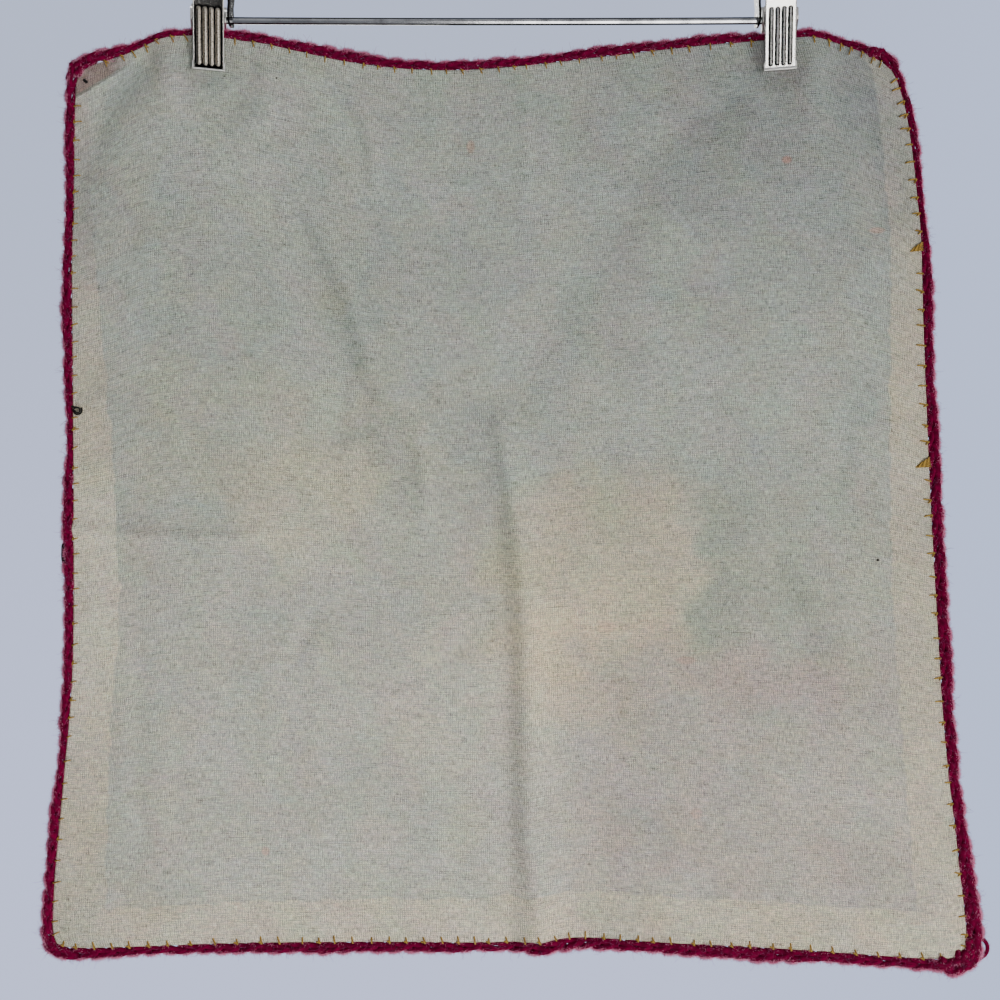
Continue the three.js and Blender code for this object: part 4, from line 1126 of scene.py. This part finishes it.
def blanket_stitches():
    rows = []
    for name, places in STITCH_PLACES.items():
        side = sides[name]
        shares = side.share_at(np.array(places), SIDE_AXIS[name])
        centre, along, out_dir, facing = frames_along(side, shares)
        count = len(places)
        lengths = dice.uniform(2.3, 3.6, count) * (1.15 if name == "right" else 1)
        leans = np.radians(dice.normal(-4 if name == "right" else 12, 7, count))
        plump = MM * {"foot": 1.15, "right": 1.1, "top": 0.9, "left": 0.85}[name]
        slanting = 0.25 if name == "left" else 0.6
        for i in range(count):
            turn = turn_of(along[i], out_dir[i], facing[i], 0.0, leans[i])
            rows.append((tuple(centre[i]), turn, (plump, lengths[i] * MM, MM), (plump / MM, 0, 0)))
            if dice.random() < slanting:  # the thread slants off to the next stitch, under the wool
                aside = leans[i] + math.radians(dice.uniform(38, 66))
                turn = turn_of(along[i], out_dir[i], facing[i], 0.0, aside)
                size = (plump, dice.uniform(1.3, 2.1) * MM, MM * 0.95)
                rows.append((tuple(centre[i]), turn, size, (plump / MM, 0, 0)))
    return rows


def stitch_pattern():
    """A flat loop of thread round the edge, through the cloth at its inner end."""
    sewn = Pattern("blanket_stitch", {
        "Thread Thickness": THREAD * MM, "Overhang": 0.16, "Near Height": 1.24, "Far Height": 1.9,
        "Loop Steps": 16, "Thread Facets": 5,
    })
    loop = sewn.add("GeometryNodeCurvePrimitiveCircle", {"Resolution": sewn.size("Loop Steps")})
    share = sewn.along()
    angle = share * (2 * math.pi)

    def squared(value):
        """Flattens a circle's swing into a long flat run with short ends."""
        return sewn.math("SIGN", value) * sewn.math("ABSOLUTE", value) ** 0.55

    run = squared(sewn.math("COSINE", angle))
    lift = squared(sewn.math("SINE", angle))
    y = run * 0.5 * (1 + sewn.size("Overhang")) - 0.5 * (1 - sewn.size("Overhang"))
    above = sewn.step(lift, -0.05, 0.05)
    z = lift * (above * sewn.size("Near Height") + (1 - above) * sewn.size("Far Height"))
    shaped = sewn.moved(loop.outputs[0], Position=sewn.join(0.0, y, z))
    whole = sewn.set_out(sewn.keep(shaped, "share", share))
    kept = sewn.kept("share")
    girth = sewn.spread(sewn.named("girth"))[0]
    slack = (sewn.math("COSINE", kept * (2 * math.pi)) * 0.22 + 1.0) * girth
    mesh = sewn.yarn(sewn.thickened(whole, slack), sewn.size("Thread Thickness") * 0.5,
                     sewn.size("Thread Facets"), kept * 5)
    return sewn.closed(mesh, mustard)


stitches = stitch_pattern().grown(
    guide_points("stitch_guide", blanket_stitches()), "blanket_stitches")


def knot_wraps(drop, wraps, reach, spread):
    """Several turns of thread over one another, fanned out at the edge: a joined end."""
    side = sides["right"]
    pieces = []
    for i in range(wraps):
        share = side.share_at(np.array([drop + (i / (wraps - 1) - 0.5) * spread]), 1)
        (x, edge_drop) = side.at(share)[0]
        tip = (x - reach * (0.86 + 0.08 * i), drop + 0.8 + 0.35 * i)
        path = smooth_path([
            in_front(x + 0.9, edge_drop, 0.2), in_front(x, edge_drop, 1.3),
            in_front((x + tip[0]) / 2, (edge_drop + tip[1]) / 2, 1.75 - 0.1 * i),
            in_front(tip[0], tip[1], 1.1), in_front(tip[0] - 0.3, tip[1], 0.1),
        ], 5)
        pieces.append(thread_tube(f"wrap_{drop}_{i}", path, THREAD * 0.52, 6, mustard, 0.5))
    return pieces


knots = joined("thread_knots", [
    *knot_wraps(114.5, 5, 4.4, 3.6), *knot_wraps(220.9, 6, 5.0, 4.4),
])


# Dark thread
# Left from the picture side: a stiff little curl that comes through at the left edge, and a
# short thick end that shows outside the edging further down.
black = thread_finish("dark_thread", tint(3, 3, 3), tint(18, 17, 16))
curl_turns = np.linspace(-0.6, 2 * math.pi * 1.5, 42)
curl_reach = np.linspace(2.3, 0.9, 42)
curl = [
    in_front(-206.4 + r * math.cos(t), 195.4 + r * math.sin(t), 1.7 + 0.22 * i / 10)
    for i, (t, r) in enumerate(zip(curl_turns, curl_reach))
]
tail = smooth_path([in_front(x, drop) for x, drop in from_seen([
    (-214.4, 261.4), (-215.3, 262.4), (-215.5, 266), (-215.4, 269.6), (-214.5, 271.2),
])])
corner_end = smooth_path([in_front(x, drop, 1.2) for x, drop in from_seen([
    (-204.7, 30.1), (-203.9, 30.8), (-203.1, 31.5),
])], 5)
dark_ends = joined("dark_thread_ends", [
    thread_tube("dark_curl", curl, 0.42, 7, black, 0.5),
    thread_tube("dark_curl_root", smooth_path([
        in_front(-209.8, 193.2, 0.8), in_front(-208.4, 193.6, 1.6), in_front(-206.6, 193.9, 1.8),
    ], 5), 0.5, 7, black, 0.5),
    thread_tube("dark_tail", tail, 1.0, 7, black, 0.5),
    thread_tube("dark_corner_end", corner_end, 0.75, 6, black, 0.5),
])

for piece in (edging, lump, nap, second_nap, hairs, lump_nap):
    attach(piece, "root")
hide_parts("crochet_edging")
for piece in (stitches, knots):
    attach(piece, "root")
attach(dark_ends, "root")


# Hanger bar, frame and hook
# Bright drawn steel wire: a thin bar between the clips, and above it a frame whose two arms are
# brazed into the neck sleeve, with a hook that turns in the sleeve.
BAR_RADIUS, BAR_SAG, BAR_HALF_LENGTH = 1.75, 0.6, 151
DARK_REFLECTION_TURN = (0.906, 0.423)  # cosine and sine of the turn at which the bar's painted dark reflection lines lie


def wire_finish(name, deep, light, roughness, painted_dark_reflections=False):
    """Plated wire with fine scratches and a little tarnish; on the bar, dark lines of painted
    reflection along its top and foot and a thin one a little above its middle.
    """
    wire = Finish(name, Metallic=1.0)
    place = wire.own_place()
    cloudy, pits = wire.noise(place, 0.09, 4.0, 0.65), wire.noise(place, 4.0, 3.0, 0.7)
    tarnish = wire.step(cloudy * 0.7 + pits * 0.5, 0.48, 0.85)
    colour = wire.mix(tarnish, light, deep)
    if painted_dark_reflections:
        x, y, z = wire.spread(place)
        x = x * (1 / BAR_HALF_LENGTH)
        height = z + BAR_DROP + (1 - x * x) * BAR_SAG
        # from line to line round the bar's front, -1 to 1
        across = (height * DARK_REFLECTION_TURN[0] - y * DARK_REFLECTION_TURN[1]) * (1 / BAR_RADIUS)
        # painted reflections: dark lines along the bar's top and foot, and a thin one that fades
        # out towards the right end
        lines = wire.step(across, 0.5, 0.72) + wire.step(across, -0.4, -0.62)
        thin = wire.step(wire.math("ABSOLUTE", across - 0.28), 0.1, 0.03, 0.0, 0.5)
        lines = lines + thin * wire.step(x, 0.8, 0.3)
        colour = wire.mix(wire.math("MINIMUM", lines, 1.0) * 0.92, colour, tint(30, 30, 36))
    wire.set(Base_Color=colour,
             Roughness=pits * 0.14 + roughness + tarnish * 0.1,
             Normal=wire.bump(pits, 0.00004, 0.4))
    return wire.material


def give_finish(node, finish):
    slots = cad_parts[node].data.materials
    slots.clear()
    slots.append(finish)


chrome, chrome_with_painted_reflections = (
    wire_finish(name, tint(126, 126, 130), tint(206, 207, 212), 0.05, painted_dark_reflections)
    for name, painted_dark_reflections in (("polished_chrome", False), ("drawn_chrome", True))
)
give_finish("hanger_bar", chrome_with_painted_reflections)
give_finish("hanger_frame", chrome)
give_finish("hanger_hook", chrome)


# Clips and drop links
# Pressed steel, nickel plated. Each clip is two ribbed jaws round the bar with a coil spring
# between their levers. The two links hang from the frame's ends and carry the bar.
RIB_PITCH, RIB_TOP, RIB_FOOT = 3.05, 1.9, -22.5
RIBS_HALF, PLATE_HALF = 6.2, 6.9  # mm, half the width of the ribbed part and of the plate


def clip_finish(name, centre_x, turn, rib_half, dark_foot_reach, foot_line, blackened, rib_light):
    """Nickel plate with light ribs, its rims painted near white as highlights, and black along the
    feet of the ribs that is grime and painted shade.
    """
    plate = Finish(name, Metallic=1.0)
    place = plate.own_place()
    local = plate.add("ShaderNodeMapping", {
        "Vector": place, "Location": (centre_x, 0.0, -BAR_DROP),
        "Rotation": (0.0, 0.0, math.radians(turn)),
    }, vector_type="TEXTURE").outputs[0]
    x, y, z = plate.spread(local)
    # how far from the nearest rib's middle line, in mm
    off = RIB_PITCH / 2 - plate.math("PINGPONG", x, RIB_PITCH / 2)
    past_ends = plate.math("MAXIMUM", plate.math("MAXIMUM", z - RIB_TOP, RIB_FOOT - z), 0.0)
    off = plate.math("SQRT", off * off + past_ends * past_ends)
    aside = plate.math("ABSOLUTE", x)
    front = plate.step(y, -1.0, -1.6)
    on_ribs = plate.step(aside, RIBS_HALF, RIBS_HALF - 0.2)
    rib = plate.step(off, rib_half + 0.1, rib_half - 0.1) * on_ribs * front
    foot_of_rib = plate.step(off, rib_half - 0.05, rib_half + 0.1) * plate.step(
        off, dark_foot_reach + 0.2, dark_foot_reach)
    scuffs, cloudy = plate.noise(place, 1.6, 4.0, 0.75), plate.noise(place, 0.22, 3.0, 0.6)
    over_foot = plate.step(z, foot_line - 0.2, foot_line + 0.2)
    sunk = plate.step(aside, PLATE_HALF, PLATE_HALF - 0.4) * over_foot * (1 - rib) * front
    sunk = sunk * (1 - plate.step(z, 3.0, 4.6) * plate.step(scuffs, 0.38, 0.6) * 0.8)
    # black along the ribs' feet, and on the left clip over the sunk plate: grime and painted shade
    grime_and_shade = plate.math("MAXIMUM", foot_of_rib * on_ribs * front, sunk * blackened)
    dull = plate.step(scuffs, 0.5, 0.8) * 0.4 + cloudy * 0.2
    rim = plate.math("MAXIMUM", plate.step(aside, PLATE_HALF, PLATE_HALF + 0.3), 1 - over_foot)
    colour = plate.mix(dull, tint(214, 211, 206), tint(92, 88, 84))
    colour = plate.mix(rib * (0.6 + scuffs * 0.5), colour, rib_light)
    # painted highlight: the plate's rims near white
    colour = plate.mix(rim * 0.8, colour, tint(250, 248, 245))
    colour = plate.mix(grime_and_shade, colour, tint(6, 5, 5))
    rounded = plate.add("ShaderNodeBevel", {"Radius": 0.0009}, samples=8).outputs[0]
    plate.set(Base_Color=colour, Roughness=scuffs * 0.18 + 0.07 + rib * 0.12 + rim * 0.16,
              Normal=plate.bump(scuffs, 0.00006, 0.35, rounded))
    return plate.material


# The right clip has thinner bright ribs, and no black on the plate between them
for side, x, turn, *look in (
    ("left", -CLIP_X, CLIP_TURNS[0], 1.1, 1.6, -25.2, 1.0, tint(188, 178, 164)),
    ("right", CLIP_X, CLIP_TURNS[1], 0.55, 0.95, -24.1, 0.0, tint(200, 198, 196)),
):
    nickel = clip_finish(f"clip_nickel_{side}", x, turn, *look)
    for part in ("front_jaw", "back_jaw"):
        give_finish(f"clip_{side}_{part}", nickel)

STAR_REACH, STAR_ROW = 2.6, 2.7  # mm, half a star's width and half the way to the next one
STAR_START = 8.0  # mm above the bar


def ornament_finish():
    """A drop link's blackened face with a row of raised four-pointed stars, painted bright as
    highlights.
    """
    pressed = Finish("link_ornament", Metallic=1.0)
    place = pressed.own_place()
    _, y, z = pressed.spread(place)
    across = pressed.math("SQRT", pressed.math("ABSOLUTE", y) / STAR_REACH)
    row = pressed.math("PINGPONG", z + BAR_DROP - STAR_START, STAR_ROW)
    star = across + pressed.math("SQRT", row / STAR_REACH)
    raised = pressed.step(star, 0.95, 0.8)
    star_shine = pressed.noise(place, 1.8, 3.0)
    # painted highlights: the raised stars near white on the dark face
    colour = pressed.mix(raised * (star_shine * 0.5 + 0.6), tint(34, 33, 33), tint(200, 198, 194))
    pressed.set(Base_Color=colour, Roughness=star_shine * 0.2 + 0.15,
                Normal=pressed.bump(raised, 0.0003, 0.8))
    return pressed.material


spring_steel = wire_finish("spring_steel", tint(70, 68, 66), tint(150, 148, 144), 0.18)
stars = ornament_finish()
for side in ("left", "right"):
    give_finish(f"clip_{side}_spring", spring_steel)
    give_finish(f"drop_link_{side}", stars)


# Floor, light and camera
# The part hangs free over a plain pale floor, in soft light from above and the right.
FLOOR_Z, FLOOR_REACH = -1.5, 1.7
plain = Finish("pale_floor", Roughness=0.9, Specular_IOR_Level=0.1)
faint = plain.noise(plain.own_place(), 0.004)
plain.set(Base_Color=plain.mix(faint, tint(200, 204, 212), tint(196, 200, 208)))
floor_mesh = bpy.data.meshes.new("floor")
floor_mesh.from_pydata(
    [(x * FLOOR_REACH, y * FLOOR_REACH, FLOOR_Z) for x, y in ((-1, -1), (1, -1), (1, 1), (-1, 1))],
    [], [(0, 1, 2, 3)])
floor_mesh.materials.append(plain.material)
floor = placed("floor", floor_mesh)


def soft_light(name, place, target, size, watts, colour=(1.0, 1.0, 1.0)):
    lamp = bpy.data.lights.new(name, "AREA")
    lamp.shape, lamp.size, lamp.energy, lamp.color = "SQUARE", size, watts, colour
    holder = bpy.data.objects.new(name, lamp)
    holder.location = place
    holder.rotation_euler = (Vector(target) - Vector(place)).to_track_quat("-Z", "Y").to_euler()
    bpy.context.scene.collection.objects.link(holder)


WARM = (1.0, 0.98, 0.95)
soft_light("key_light", (4.0, -3.0, -0.9), (0, 0, -0.4), 1.3, 108, WARM)
soft_light("fill_light", (0.2, -0.7, -1.05), (0, 0, -0.52), 0.45, 3.4, WARM)
soft_light("back_light", (-0.6, 1.6, 0.7), (0, 0, -0.35), 1.2, 22)
soft_light("window", (-0.07, -1.5, -0.16), (0.0, 0.0, -0.3), 0.16, 1.2)

# The room: plain and pale where the camera looks past the part. For the polished metal to mirror
# it is bright in front above eye height, black below that and dim behind the part.
room = bpy.data.worlds.new("pale_room")
bpy.context.scene.world = room
room.use_nodes = True
air = Wiring(room.node_tree)
towards = air.add("ShaderNodeTexCoord").outputs["Generated"]
across, away, up = air.spread(towards)
ahead = air.vector("DOT_PRODUCT", towards, (0.24, -0.97, 0.0), result=1)
dark_ahead = air.step(ahead, 0.80, 0.94)
overhead, underfoot = air.step(up, 0.55, 0.95), air.step(up, -0.15, -0.8)
level = 0.28 - overhead * 0.2 - underfoot * 0.17
level = level * (1 - dark_ahead * 0.94)
in_room_front = air.step(away, 0.1, -0.1)
mirrored = air.step(up, 0.24, 0.4, 0.012, 0.55) - air.step(up, 0.6, 0.92, 0.0, 0.3)
mirrored = mirrored * in_room_front + (1 - in_room_front) * 0.3
on_metal = Term(air, air.add("ShaderNodeLightPath").outputs["Is Glossy Ray"])
level = level * (1 - on_metal) + mirrored * on_metal
lit = air.scaled((0.96, 0.98, 1.0), level)
pale = air.mix(air.step(up, -0.45, 0.45), (0.76, 0.84, 1.2, 1.0), (0.62, 0.7, 0.96, 1.0))
pale = air.mix(air.step(across, 0.1, 0.5), pale, (0.67, 0.79, 1.14, 1.0))
looked_at = air.add("ShaderNodeLightPath").outputs["Is Camera Ray"]
air.feed(room.node_tree.nodes["Background"].inputs["Color"], air.mix(looked_at, lit, pale))

camera_data = bpy.data.cameras.new("camera")
camera_data.sensor_width, camera_data.lens = 36.0, 37.44
camera = bpy.data.objects.new("camera", camera_data)
camera.location = Vector((VIEWER_X, -VIEWER_AWAY, -BAR_DROP - VIEWER_DROP)) * MM
camera.rotation_euler = (math.radians(90), 0.0, 0.0)
bpy.context.scene.collection.objects.link(camera)
bpy.context.scene.camera = camera

bpy.context.view_layer.update()
